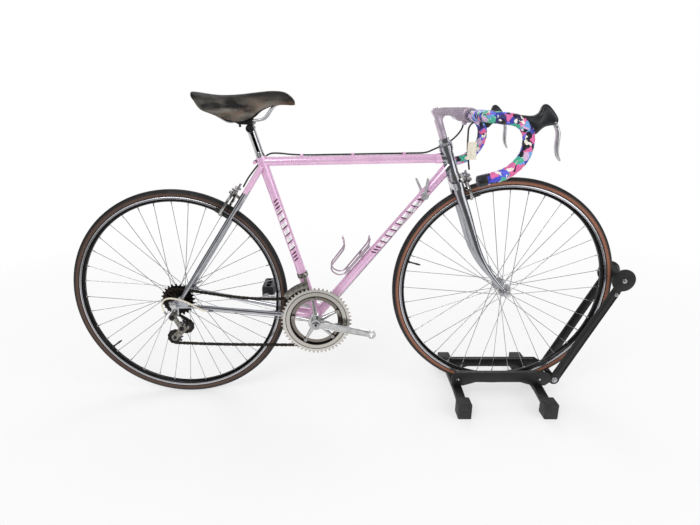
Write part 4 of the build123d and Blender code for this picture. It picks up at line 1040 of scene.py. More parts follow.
PAD_RUBBER = Finish("pad_rubber", "hood_rubber", "1C1C1E", "2A2A2B", 0.0, 0.6, 0.1, 120.0, 1800.0, 0.06)
CHAIN_STEEL = Finish("chain_steel", "sprocket_steel", "3A342F", "1C1917", 0.85, 0.4, 0.12, 160.0, 1500.0, 0.05)
CAGE_METAL = Finish("cage_metal", "stem_satin", "D9C6D4", "C4B3C0", 0.85, 0.24, 0.06, 80.0)
FLUTED = FlutedMetal("fluted_alloy", "alloy", "CFCFD2", "B0B0B3", 1.0, 0.16, 0.04, 70.0)
RINGS = RingMetal("ring_metal", "alloy", "CFCFD0", "B7B6B5", 1.0, 0.22, 0.06, 60.0, 1200.0, 0.003, centre=BIKE.bracket)
LEATHER = WornLeather("saddle_leather", "saddle_leather", "191715", "0F0E0D", 0.0, 0.5, 0.1, 26.0)


def settings_of(finish: Finish) -> dict[str, object]:
    """All of a finish's settings but its name, for others that differ from it by place alone."""
    return {key: value for key, value in vars(finish).items() if key != "name"}


def finished(
    thing: Thing,
    name: str,
    body: Body,
    finish: Finish,
    replaces: Sequence[str] = (),
    rides: bool = True,
) -> Thing:
    """Name a piece, dress it and fasten it to its body.

    Args:
        thing: The finished mesh.
        name: The piece's name.
        body: Body that it rides on.
        finish: Its finish.
        replaces: CAD nodes that it stands for.
        rides: False for a piece that is fastened to no body.

    Returns:
        The piece.
    """
    thing.name = name
    thing.data.name = name
    thing.data.materials.clear()
    thing.data.materials.append(finish.material())
    if rides:
        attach(thing, body.value)
    if replaces:
        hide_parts(*replaces)
    log.info("%s: %d faces on %s", name, len(getattr(thing.data, "polygons", ())), body.value)
    return thing


def dressed(node: str, finish: Finish) -> None:
    """Give a CAD node that stays in view its finish."""
    thing = frame["nodes"][node]
    for material_slot in thing.material_slots:
        material_slot.material = finish.material()
    log.info("%s keeps its form, in %s", node, finish.name)


# ---------------------------------------------------------------- wheels
@dataclass
class Wheel:
    """A spoked wheel: tyre, rim, nipples and valve round the hub and spokes."""

    end: str
    body: Body
    valve_angle: float
    # wall and edge: tones of the tyre's side and of its outer band; the rear wheel is given darker ones as painted
    # shade
    wall: str
    edge: str
    tyre_r: float = 334.0
    section_r: float = 12.0
    rim_edge_r: float = 311.5
    rim_inner_r: float = 297.5
    half_width: float = 9.5
    spokes: int = 36

    @property
    def centre(self) -> Vector:
        """The wheel's axle."""
        return joint_point(f"{self.end}_wheel_spin")

    def rim_spot(self, angle: float, radius: float, left: float = 0.0) -> Vector:
        """World point at an angle round the wheel, in radians."""
        return self.centre + Vector((radius * cos(angle), left, radius * sin(angle))) * MM

    def tyre(self) -> Thing:
        """Tyre with a flat where it meets the rim."""
        middle = self.tyre_r - self.section_r
        bead = pi - asin(0.575)
        count = 25
        profile = []
        for index in range(count):
            angle = bead * (2 * index / (count - 1) - 1)
            profile.append((middle + self.section_r * cos(angle), self.section_r * sin(angle)))
        return turned(profile, self.centre, LEFTWARD, 160, closed=True)

    def rim(self) -> Thing:
        """Rim with its brake tracks, bead hooks and spoke bed."""
        edge, inner, half = self.rim_edge_r, self.rim_inner_r, self.half_width
        profile = [
            (edge + 0.8, -half + 0.4),
            (edge + 0.8, -half + 1.6),
            (edge - 5, -half + 2.4),
            (edge - 5, half - 2.4),
            (edge + 0.8, half - 1.6),
            (edge + 0.8, half - 0.4),
            (edge, half),
            (edge - 9, half),
            (edge - 9.6, half - 0.5),
            (inner + 1.6, 6.2),
            (inner + 0.3, 4.4),
            (inner, 0),
            (inner + 0.3, -4.4),
            (inner + 1.6, -6.2),
            (edge - 9.6, -half + 0.5),
            (edge - 9, -half),
            (edge, -half),
        ]
        return turned(profile, self.centre, LEFTWARD, 160, closed=True)

    def nipples(self) -> Thing:
        """Spoke nipples in their eyelets."""
        parts = []
        for index in range(self.spokes):
            angle = 2 * pi * index / self.spokes
            left = 1.5 if index % 2 else -1.5
            outer = self.rim_spot(angle, self.rim_inner_r + 2, left)
            inner = self.rim_spot(angle, self.rim_inner_r - 9, left * 3.0)
            parts.append(rod(outer, inner, 2.1, 1.5, sides=8))
            collar = self.rim_spot(angle, self.rim_inner_r - 0.8, left)
            parts.append(rod(outer, collar, 3.4, 3.0, sides=10))
        return joined(parts)

    def valve(self) -> Thing:
        """Slim valve stem with its collar and cap."""
        angle = radians(self.valve_angle)
        spots = [self.rim_spot(angle, radius) for radius in (299, 293, 274, 260)]
        return joined([
            rod(spots[0], spots[1], 4.6, 3.6, sides=14),
            rod(spots[1], spots[2], 2.6, sides=14),
            rod(spots[2], spots[3], 3.4, 2.2, sides=14, rounding=0.5),
        ])

    def build(self) -> None:
        """Make and dress the wheel."""
        rubber = RingedFinish(
            f"{self.end}_tyre_rubber", "tyre_rubber", "1B1816", "2A211C", 0.0, 0.62, 0.1, 16.0,
            centre=self.centre,
            rings=((0.0, "241B17"), (313.0, "33251E"), (314.6, self.wall), (321.6, self.edge), (324.6, "0D0C0C")),
            tread=True, wear=0.14,
        )
        metal = RingedFinish(
            f"{self.end}_rim_alloy", "rim_alloy", "DADADE", "6F6F73", 0.8, 0.24, 0.05, 60.0, wear=0.08,
            centre=self.centre,
            rings=((0.0, "070708"), (305.3, "C4C4C9"), (307.6, "3E3E42"), (308.6, "DADADF")),
        )
        finished(self.tyre(), f"{self.end}_tyre_round", self.body, rubber, [f"{self.end}_tyre"])
        finished(self.rim(), f"{self.end}_rim_hoop", self.body, metal, [f"{self.end}_rim"])
        finished(self.nipples(), f"{self.end}_nipples", self.body, STEEL)
        finished(self.valve(), f"{self.end}_valve", self.body, LACQUER)
        dressed(f"{self.end}_hub", STEEL)


# ---------------------------------------------------------------- frame
@dataclass
class FrameSet:
    """The painted and chromed frame."""

    decal_start: float = 95.0
    decal_end: float = 340.0

    def build(self) -> None:
        """Dress the tubes, whose forms are already right."""
        head = BIKE.down_tube_head
        down_run = (BIKE.bracket - head).normalized()
        down = StripedPaint(
            "down_tube_paint", **settings_of(PAINT),
            origin=head, run=down_run, start=self.decal_start, finish=self.decal_end,
        )
        seat_top = BIKE.top_tube[1]
        seat = StripedPaint(
            "seat_tube_paint", **settings_of(PAINT),
            origin=seat_top, run=BIKE.seat_axis * -1, start=112.0, finish=310.0,
        )
        stays = DippedChrome(
            "stay_finish", **settings_of(CHROME), paint_tone=PAINT.tone,
            origin=BIKE.seat(0, 0, 400.0) + BIKE.heading(-60, 0, 0), run=BIKE.heading(0.45, 0, 0.89).normalized(),
        )
        chainstays = DippedChrome(
            "chainstay_finish", **settings_of(CHROME), paint_tone=PAINT.tone,
            origin=BIKE.at(352, 0, -60), run=BIKE.forward,
        )
        lugs = DippedChrome(
            "lug_finish", **settings_of(CHROME), paint_tone=PAINT.tone,
            origin=BIKE.steer(-21.0, 0, 400), run=-BIKE.steering_forward,
        )
        dressed("top_tube", PAINT)
        dressed("down_tube", down)
        dressed("seat_tube", seat)
        dressed("bottom_bracket", PAINT)
        dressed("seat_stays", stays)
        dressed("chainstays", chainstays)
        dressed("head_tube", lugs)
        for node in ("headset_cups", "fork_crown", "fork_blade_right", "fork_blade_left"):
            dressed(node, CHROME)
        finished(softened("dropouts", 0.8), "dropout_plates", Body.FRAME, CHROME, ["dropouts"])


@dataclass
class Seat:
    """Saddle, its rails and the fluted seatpost."""

    stations: tuple[tuple[float, float, float, float], ...] = (
        (110.0, 14.0, 598.5, 594.0),
        (115.0, 44.0, 598.0, 584.0),
        (124.0, 57.0, 597.0, 574.0),
        (143.0, 73.0, 593.5, 551.0),
        (172.0, 76.0, 588.5, 538.0),
        (205.0, 70.0, 586.0, 524.0),
        (240.0, 56.0, 586.5, 515.0),
        (268.0, 40.0, 588.5, 522.0),
        (295.0, 29.0, 590.5, 541.0),
        (330.0, 22.0, 592.0, 553.0),
        (362.0, 19.5, 588.0, 553.5),
        (381.0, 16.0, 575.0, 552.0),
        (389.5, 8.0, 563.0, 553.0),
    )
    squareness: float = 3.2
    wall: float = 4.0
    post_low: float = 480.0
    post_high: float = 592.0
    neck_r: float = 12.2
    post_r: float = 13.6
    clamp: tuple[float, float] = (258.1, 516.0)

    def shell(self) -> Thing:
        """Leather over its moulded base, open below."""

        def place(along: float, around: float) -> Vector:
            """Point of the leather, from one end to the other and over from side to side."""
            forward, half_width, top, skirt = eased(self.stations, along)
            angle = pi * around
            power = 2 / self.squareness
            left = half_width * signed_power(cos(angle), power)
            return BIKE.at(forward, left, skirt + (top - skirt) * max(0.0, sin(angle)) ** power)

        cover = facing_up(laid_grid(72, 34, place, close=False))
        wall = cover.modifiers.new("wall", "SOLIDIFY")
        wall.thickness = self.wall * MM
        wall.offset = -1.0
        bpy.ops.object.modifier_apply(modifier=wall.name)
        return subdivided(cover, 1)

    def post(self) -> Thing:
        """Seatpost with a long groove down each side of its neck."""
        span = self.post_high - self.post_low
        ends = [BIKE.seat(0, 0, self.post_low), BIKE.seat(0, 0, self.post_high)]

        def radius(along: float, angle: float) -> float:
            """Radius of the post, less its grooves."""
            height = self.post_low + span * along
            body = min(self.post_r, max(self.neck_r, self.post_r - (height - 513.0) * 0.14))
            window = min(1.0, max(0.0, min(height - 525.0, 583.0 - height) / 4.0))
            groove = min(1.0, max(0.0, (abs(sin(angle)) - 0.91) / 0.03))
            return body - 1.7 * window * groove

        return swept(Route(ends, [], BIKE.seat_forward), 80, 72, radius)

    def head(self) -> Thing:
        """Black two-bolt head that clamps the rails."""
        forward, up = self.clamp
        outline = [(-38, 1), (-26, -8), (14, -11), (16, 0), (8, 7), (-34, 7)]
        cradle = side_plate([(forward + f, up + u) for f, u in outline], 0.0, 56.0, corner=4.0, rounding=1.6)
        parts = [cradle, cross_rod(BIKE.seat(0, 0, 594.0), 18.5, 11.4, rounding=1.6)]
        for bolt in (-26.0, 6.0):
            spot = BIKE.at(forward + bolt, 0, up + 2)
            parts.append(rod(spot, spot + BIKE.heading(0, 0, -18), 3.4, sides=16, rounding=0.5))
        return joined(parts)

    def build(self) -> None:
        """Make and dress the seat."""
        saddle = finished(self.shell(), "saddle_cover", Body.FRAME, LEATHER, ["saddle"])
        dressed("saddle_rails", STEEL)
        finished(self.post(), "post_tube", Body.FRAME, FLUTED, ["seatpost"])
        finished(self.head(), "post_head", Body.FRAME, BLACK_METAL)
        collar = BIKE.seat(0, 0, 504.0)
        bolt = cross_rod(collar - BIKE.seat_forward * 19.5 * MM, 11.5, 4.6, rounding=0.8)
        finished(bolt, "seat_pinch_bolt", Body.FRAME, BLACK_METAL)


# ---------------------------------------------------------------- steering and bars
@dataclass
class Cockpit:
    """Stem, handlebar with its tape, brake hoods and levers, and the headset's top."""

    half_width: float = 200.0
    tape_r: float = 14.4
    tape_start: float = 44.0
    wrap_pitch: float = 17.0
    wrap_step: float = 0.5
    lever_left: float = 196.0
    # (forward, up) of a section's top and low points from the bar, and its half width
    hood_sections: tuple[tuple[float, ...], ...] = (
        (57, 3, 62, -1, 6),
        (70, 1.5, 74, -11, 11),
        (84, 0, 86, -22, 13.5),
        (98, -2, 98, -35, 14.5),
        (110, 1.5, 109, -49.5, 14.5),
        (118.5, 9, 117, -41, 13.5),
        (120.5, 21, 123, -35.5, 12.5),
        (126.5, 25.2, 130, -30, 11.5),
        (136, 23.5, 137, -27.5, 11.5),
        (147, 11.5, 146, -26.5, 12),
        (156, -1, 154, -25.5, 12),
        (162, -12, 161, -23, 9),
    )
    # (forward, up, half thickness, half width) down a lever's blade
    blade_sections: tuple[tuple[float, ...], ...] = (
        (153, -20, 5.5, 5.5),
        (161, -31, 5.5, 6.5),
        (166, -44, 5.8, 7.3),
        (165.5, -60, 6, 7.6),
        (164.5, -77, 6, 7.4),
        (166.5, -93, 4.8, 6.8),
        (171.5, -104, 3.5, 6.2),
        (177, -111.5, 2, 5),
    )

    def drop(self, side: Side) -> list[Vector]:
        """Corner points of half the bar from the clamp to its end."""
        edge = side.value * self.half_width
        shape = ((0, 0), (95, -15), (95, -94.4), (49.8, -137.4), (-23.5, -154.5))
        return [BIKE.bar(0, 0, 0)] + [BIKE.bar(forward, edge, up) for forward, up in shape]

    def tape(self, side: Side) -> Thing:
        """Wrapped tape whose turns overlap like shingles."""
        route = Route(self.drop(side), (50.0, 49.0, 72.0, 88.0), Vector((0, 0, 1)))
        start = self.tape_start * MM / route.length
        end = 1 - 20.0 * MM / route.length

        def place(along: float, around: float) -> Vector:
            """Point of the tape, each turn rising towards its edge."""
            share = start + along * (end - start)
            centre, first, second = route.section(share * route.length)
            angle = 2 * pi * around
            turns = share * route.length / MM / self.wrap_pitch + side.value * around
            reach = self.tape_r - self.wrap_step + 2 * self.wrap_step * (turns % 1.0)
            return centre + (first * cos(angle) + second * sin(angle)) * reach * MM

        return laid_grid(360, 28, place)

    def sleeve(self, side: Side) -> Thing:
        """Plain dark wrap beside the stem's clamp, over the tape's first turn."""
        inner = BIKE.bar(0, side.value * 20.4, 0)
        outer = BIKE.bar(0, side.value * (self.tape_start + 2), 0)
        return rod(inner, outer, 14.2, 14.9, sides=32, rounding=0.8)

    def bar_plug(self, side: Side) -> Thing:
        """Black band and plug that finish the tape at the bar's end."""
        ends = self.drop(side)[-2:]
        run = (ends[1] - ends[0]).normalized()
        profile = ((0, 0), (9, 0), (12.5, -1.5), (14.6, -3), (15.0, -5), (15.0, -22), (14.4, -24), (0, -24))
        return turned(profile, ends[1], run, 32)

    def hood(self, side: Side) -> Thing:
        """Rubber hood over the brake lever's body, with its peak."""
        edge = side.value * self.lever_left
        stations = []
        for top_forward, top_up, low_forward, low_up, half_width in self.hood_sections:
            top = BIKE.bar(top_forward, edge, top_up)
            low = BIKE.bar(low_forward, edge, low_up)
            stations.append(Station((top + low) / 2, (top - low) / 2, LEFTWARD * half_width * MM))
        return lofted(stations, 16, 2.5)

    def lever(self, side: Side) -> Thing:
        """Curved lever blade."""
        edge = side.value * self.lever_left
        stations = []
        last = len(self.blade_sections) - 1
        for index, (forward, up, thick, half_width) in enumerate(self.blade_sections):
            before = self.blade_sections[max(index - 1, 0)]
            after = self.blade_sections[min(index + 1, last)]
            run = Vector((after[0] - before[0], after[1] - before[1])).normalized()
            square = BIKE.heading(-run.y * thick, 0, run.x * thick)
            stations.append(Station(BIKE.bar(forward, edge, up), square, LEFTWARD * half_width * MM))
        return lofted(stations, 12, 2.4)

    def lever_pivot(self, side: Side) -> Thing:
        """Pin and clamp screw that show at the hood's lower end."""
        edge = side.value * self.lever_left
        return joined([
            cross_rod(BIKE.bar(151, edge, -20), 12.8, 3.0, sides=16, rounding=0.5),
            cross_rod(BIKE.bar(160, edge, -29), 8.4, 2.4, sides=14, rounding=0.4),
        ])

    def stem(self) -> Thing:
        """Forged stem with its clamp bolt and expander cap."""
        body = softened("stem", 3.0, segments=3)
        cap = BIKE.steer(0, 0, 541.0 + 27.0)
        return joined([
            body,
            cross_rod(BIKE.bar(-12, 0, -20), 9.0, 6.0, rounding=1.2),
            cross_rod(BIKE.bar(-12, 0, -20), 11.5, 3.6, sides=6, rounding=0.6),
            rod(cap, cap + BIKE.steering_axis * 4.5 * MM, 7.5, rounding=1.0),
        ])

    def headset(self) -> Thing:
        """Knurled race under a six-sided locknut."""
        low, race_top, high = 464.4, 472.6, 485.0
        ends = [BIKE.steer(0, 0, low), BIKE.steer(0, 0, high)]

        def radius(along: float, angle: float) -> float:
            """Radius of the knurled race below and of the six-sided nut above."""
            height = low + (high - low) * along
            if height < race_top:
                edge = min(1.0, min(height - low, race_top - height) / 1.2)
                return 17.0 + 1.0 * edge + 0.4 * cos(angle * 30)
            flat = 15.6 * cos(pi / 6) / cos((angle % (pi / 3)) - pi / 6)
            return min(flat, 15.3) - (0.8 if height > high - 0.8 else 0.0)

        return swept(Route(ends, [], BIKE.steering_forward), 26, 180, radius)

    def lower_cup(self) -> Thing:
        """Ribbed dark cup between the head tube and the fork crown."""
        ends = [BIKE.steer(0, 0, 364.4), BIKE.steer(0, 0, 376.6)]

        def radius(along: float, angle: float) -> float:
            """Radius of the cup and its ribs, the same all round."""
            rib = 0.7 if (along * 3.0) % 1.0 > 0.45 else 0.0
            return 18.9 + rib

        return swept(Route(ends, [], BIKE.steering_forward), 30, 48, radius)

    def build(self) -> None:
        """Make and dress the front end."""
        for side in Side:
            name = side.word
            finished(self.tape(side), f"tape_wrap_{name}", Body.FRONT, TAPE, [f"bar_tape_{name}"])
            finished(self.sleeve(side), f"bar_sleeve_{name}", Body.FRONT, SLEEVE)
            finished(self.bar_plug(side), f"bar_plug_{name}", Body.FRONT, HOOD)
            finished(self.hood(side), f"hood_{name}", Body.FRONT, HOOD, [f"brake_hood_{name}"])
            finished(self.lever(side), f"lever_{name}", Body.FRONT, ALLOY, [f"brake_lever_{name}"])
            finished(self.lever_pivot(side), f"lever_pins_{name}", Body.FRONT, STEEL)
        finished(self.stem(), "stem_forging", Body.FRONT, STEM_SATIN, ["stem"])
        finished(self.headset(), "headset_nuts", Body.FRONT, CHROME, ["headset_top"])
        finished(self.lower_cup(), "headset_lower_cup", Body.FRAME, DULL_ALLOY)
        dressed("handlebar", ALLOY)


# ---------------------------------------------------------------- drivetrain
@dataclass
class Chain:
    """Roller chain made of links laid round its wheels."""

    pitch: float = 12.7
    left: float = -41.0
    sags: tuple[float, ...] = (22.0, 3.0, 0.0, 0.0)
    lean: float = 1.35
    step: float = 1.5
    plate_r: float = 4.1
    waist: float = 3.2

    @property
    def wheels(self) -> list[tuple[Vector, float]]:
        """Centre of each wheel and the radius of its pin line, below nought where the chain bends back."""
        return [
            (Vector((0, 0)), self.pin_line(19)),
            (Vector((BRACKET_FORWARD, BRACKET_UP)), self.pin_line(42)),
            (Vector((-21, -120)), self.pin_line(10)),
            (Vector((18, -84)), -self.pin_line(10)),
        ]

    def pin_line(self, teeth: int) -> float:
        """Radius of the pins round a wheel of so many teeth."""
        return self.pitch / (2 * sin(pi / teeth))

    def line(self) -> list[Vector]:
        """Close points round the whole loop, as (forward, up)."""
        wheels = self.wheels
        pairs = list(zip(wheels, wheels[1:] + wheels[:1]))
        runs = []
        for (first, first_r), (second, second_r) in pairs:
            gap = second - first
            normal = atan2(gap.y, gap.x) + pi / 2 - asin((first_r - second_r) / gap.length)
            spoke = Vector((cos(normal), sin(normal)))
            runs.append((first + spoke * first_r, second + spoke * second_r, normal))
        points = []
        for index, (start, end, normal) in enumerate(runs):
            count = ceil((end - start).length / self.step)
            for number in range(count):
                share = number / count
                lean = share ** self.lean
                drop = 4 * lean * (1 - lean) * self.sags[index]
                points.append(start.lerp(end, share) - Vector((0, drop)))
            centre, reach = pairs[index][1]
            after = runs[(index + 1) % len(runs)][2]
            turn = (normal - after) % (2 * pi) if reach > 0 else -((after - normal) % (2 * pi))
            count = max(2, ceil(abs(turn * reach) / self.step))
            for number in range(count):
                angle = normal - turn * number / count
                points.append(centre + Vector((cos(angle), sin(angle))) * reach)
        return points

    def pins(self) -> list[Vector]:
        """Pins at equal steps round the loop, an even number of them."""
        points = self.line()
        points.append(points[0])
        lengths = [0.0]
        for start, end in zip(points, points[1:]):
            lengths.append(lengths[-1] + (end - start).length)
        count = 2 * round(lengths[-1] / self.pitch / 2)
        pins, index = [], 0
        for number in range(count):
            target = lengths[-1] * number / count
            while lengths[index + 1] < target:
                index += 1
            share = (target - lengths[index]) / (lengths[index + 1] - lengths[index])
            pins.append(points[index].lerp(points[index + 1], share))
        return pins

    def link(self, spread: float, thickness: float) -> Thing:
        """One link at the origin, ahead of its first pin: two waisted plates, a roller and a pin."""
        outline = []
        for centre, start in ((self.pitch, -pi / 2), (0.0, pi / 2)):
            turns = [start + pi * step / 5 for step in range(6)]
            outline += [(centre + self.plate_r * cos(turn), self.plate_r * sin(turn)) for turn in turns]
            outline.append((self.pitch / 2, self.waist if centre else -self.waist))
        parts = []
        for side in Side:
            level = side.value * spread - thickness / 2
            corners = [Vector((x, level, z)) * MM for x, z in outline]
            parts.append(plate(corners, LEFTWARD * thickness * MM, 0.0))
        parts.append(cross_rod(Vector(), 1.7, 3.9, sides=10))
        parts.append(cross_rod(Vector(), 3.9, 1.8, sides=8))
        return joined(parts)

    def build(self) -> None:
        """Lay the links round the loop."""
        pins = self.pins()
        patterns = [self.link(3.0, 0.8), self.link(2.15, 0.8)]
        links = []
        for index, pin in enumerate(pins):
            run = pins[(index + 1) % len(pins)] - pin
            twin = patterns[index % 2].copy()
            twin.data = patterns[index % 2].data.copy()
            bpy.context.scene.collection.objects.link(twin)
            ahead = BIKE.heading(run.x, 0, run.y).normalized()
            turn = Matrix((ahead, LEFTWARD, ahead.cross(LEFTWARD))).transposed()
            twin.matrix_world = Matrix.Translation(BIKE.at(pin.x, self.left, pin.y)) @ turn.to_4x4()
            links.append(twin)
        for pattern in patterns:
            bpy.data.objects.remove(pattern)
        finished(smoothed(settle(joined(links)), 35.0), "chain_links", Body.FRAME, CHAIN_STEEL, ["chain"])


@dataclass
class Drivetrain:
    """Cranks, rings, freewheel and both gear mechanisms."""

    upper_jockey: tuple[float, float] = (18.0, -84.0)
    lower_jockey: tuple[float, float] = (-21.0, -120.0)
    chain_left: float = -41.0
    crank_angle: float = -11.7
    bolt_circle: float = 72.0
    bolt_left: float = -51.4
    boss_left: float = -80.4
    cap_left: float = -81.2
    flute: tuple[float, float] = (26.0, 150.0)

    def jockey(self, centre: tuple[float, float]) -> Thing:
        """Toothed plastic guide wheel with its ring of holes."""
        teeth, root, tip = 10, 17.4, 24.1
        outline = []
        for index in range(teeth):
            for share, reach in ((-0.34, root), (-0.13, tip - 0.6), (0.0, tip), (0.13, tip - 0.6), (0.34, root)):
                angle = 2 * pi * (index + share) / teeth
                outline.append((centre[0] + reach * cos(angle), centre[1] + reach * sin(angle)))
        wheel = side_plate(outline, self.chain_left, 3.2, rounding=0.4)
        hub = cross_rod(BIKE.at(centre[0], self.chain_left, centre[1]), 4.0, 8.0, rounding=0.8)
        return joined([wheel, hub])

    def cage_bolts(self) -> Thing:
        """Dark six-sided bolts of the derailleur's cage and knuckles."""
        parts = []
        for forward, up in (self.upper_jockey, self.lower_jockey):
            parts.append(cross_rod(BIKE.at(forward, self.chain_left - 8.0, up), 2.4, 5.0, sides=6, rounding=0.5))
        for (forward, up), left in (((-7.0, -37.0), -86.0), ((14.0, -78.0), -77.0)):
            parts.append(cross_rod(BIKE.at(forward, left, up), 2.2, 7.2, sides=24, rounding=1.0))
            parts.append(cross_rod(BIKE.at(forward, left - 2.0, up), 1.6, 3.6, sides=6, rounding=0.3))
        return joined(parts)

    def spot(self, angle: float, reach: float, left: float) -> Vector:
        """World point at an angle in degrees round the bracket."""
        turn = radians(angle)
        return BIKE.at(BRACKET_FORWARD + reach * cos(turn), left, BRACKET_UP + reach * sin(turn))

    def ring_bolts(self) -> Thing:
        """Ring bolts with sunk sockets, and the arm's boss ring."""
        parts = []
        for index in range(5):
            centre = self.spot(self.crank_angle + 36 + 72 * index, self.bolt_circle, self.bolt_left)
            profile = ((0, 1.4), (2.6, 1.4), (2.9, -0.2), (4.6, -0.2), (5.4, 0.6), (5.4, 3.0), (0, 3.0))
            parts.append(turned(profile, centre, LEFTWARD, 20))
        profile = ((0, -1.0), (11.5, -1.0), (12.6, -0.4), (13.2, 0.8), (13.2, 2.0), (0, 2.0))
        parts.append(turned(profile, self.spot(0, 0, self.boss_left), LEFTWARD, 32))
        return joined(parts)

    def dust_cap(self) -> Thing:
        """Dark six-sided recess in the crank's dust cap."""
        return cross_rod(self.spot(0, 0, self.cap_left), 0.6, 4.2, sides=6, rounding=0.2)

    def arm_flute(self) -> Thing:
        """Long raised fillets that leave a groove down the outer face of the right crank."""
        inner, outer = self.flute
        run = self.spot(self.crank_angle, outer, -80.0) - self.spot(self.crank_angle, inner, -80.0)
        across = run.cross(LEFTWARD).normalized()
        parts = []
        for side in (-1, 1):
            start = self.spot(self.crank_angle, inner, -75.2) + across * side * 9.6 * MM
            end = self.spot(self.crank_angle, outer, -84.8) + across * side * 6.6 * MM
            parts.append(rod(start, end, 1.7, 1.3, sides=12, rounding=0.5))
        return joined(parts)

    def pedal(self) -> Thing:
        """Moulded pedal: end plates, barrel and ridged tread blocks."""
        low, high = (Vector(corner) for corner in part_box("pedal_left"))
        middle = (low + high) / 2
        wall = 6.0 * MM
        parts = []
        for edge in (low.y, high.y - wall):
            face = rounded_outline([(low.x, low.z), (high.x, low.z), (high.x, high.z), (low.x, high.z)], 7.0 * MM)
            parts.append(plate([Vector((x, edge, z)) for x, z in face], LEFTWARD * wall, 1.0))
        for start, end in ((low.x, low.x + 12 * MM), (high.x - 12 * MM, high.x)):
            for bottom, top in ((low.z + 1.2 * MM, middle.z - 4 * MM), (middle.z + 4 * MM, high.z - 1.2 * MM)):
                corners = [(start, bottom), (end, bottom), (end, top), (start, top)]
                block = [Vector((x, low.y + wall * 0.5, z)) for x, z in corners]
                parts.append(plate(block, LEFTWARD * (high.y - low.y - wall), 1.0))
        for index in range(9):
            left = low.y + wall + (high.y - low.y - 2 * wall) * (index + 0.5) / 9
            for edge in (low.x + 1.0 * MM, high.x - 1.0 * MM):
                start = Vector((edge, left, low.z + 3 * MM))
                parts.append(rod(start, start + Vector((0, 0, high.z - low.z - 6 * MM)), 1.6, sides=8, rounding=0.4))
        for level in (low.z + 6 * MM, high.z - 6 * MM):
            ends = [Vector((x, middle.y, level)) for x in (low.x + 4 * MM, high.x - 4 * MM)]
            parts.append(rod(*ends, 3.0, rounding=0.8))
        shaft = joint_point("pedal_spin")
        ends = [Vector((shaft.x, y, shaft.z)) for y in (low.y + 1 * MM, high.y - 1 * MM)]
        parts.append(rod(*ends, 9.0, rounding=1.2))
        return joined(parts)

    def build(self) -> None:
        """Make and dress the drivetrain."""
        Chain().build()
        for name, centre in (("upper", self.upper_jockey), ("lower", self.lower_jockey)):
            finished(self.jockey(centre), f"jockey_{name}", Body.FRAME, PEDAL_PLASTIC)
        finished(self.cage_bolts(), "derailleur_bolts", Body.FRAME, BLACK_METAL)
        gear = softened("rear_derailleur", 1.2, segments=3)
        finished(gear, "derailleur_body", Body.FRAME, DULL_ALLOY, ["rear_derailleur"])
        finished(softened("front_derailleur", 0.6), "front_mech", Body.FRAME, DULL_ALLOY, ["front_derailleur"])
        finished(softened("shifters", 1.6, segments=3), "shift_levers", Body.FRAME, SATIN_ALLOY, ["shifters"])
        finished(softened("crank_left", 1.6, segments=3), "crank_arm_left", Body.CRANK, ALLOY, ["crank_left"])
        finished(self.ring_bolts(), "ring_bolts", Body.CRANK, STEEL)
        finished(self.dust_cap(), "dust_cap_socket", Body.CRANK, BLACK_METAL)
        finished(self.arm_flute(), "crank_fillets", Body.CRANK, ALLOY)
        finished(self.pedal(), "pedal_block", Body.PEDAL, PEDAL_PLASTIC, ["pedal_left"])
        dressed("crankset", RINGS)
        dressed("crank_spindle", STEEL)
        dressed("freewheel", SPROCKET)
        finished(softened("front_axle", 0.8), "front_skewer", Body.FRONT, ALLOY, ["front_axle"])
        finished(softened("rear_axle", 0.8), "rear_skewer", Body.FRAME, ALLOY, ["rear_axle"])


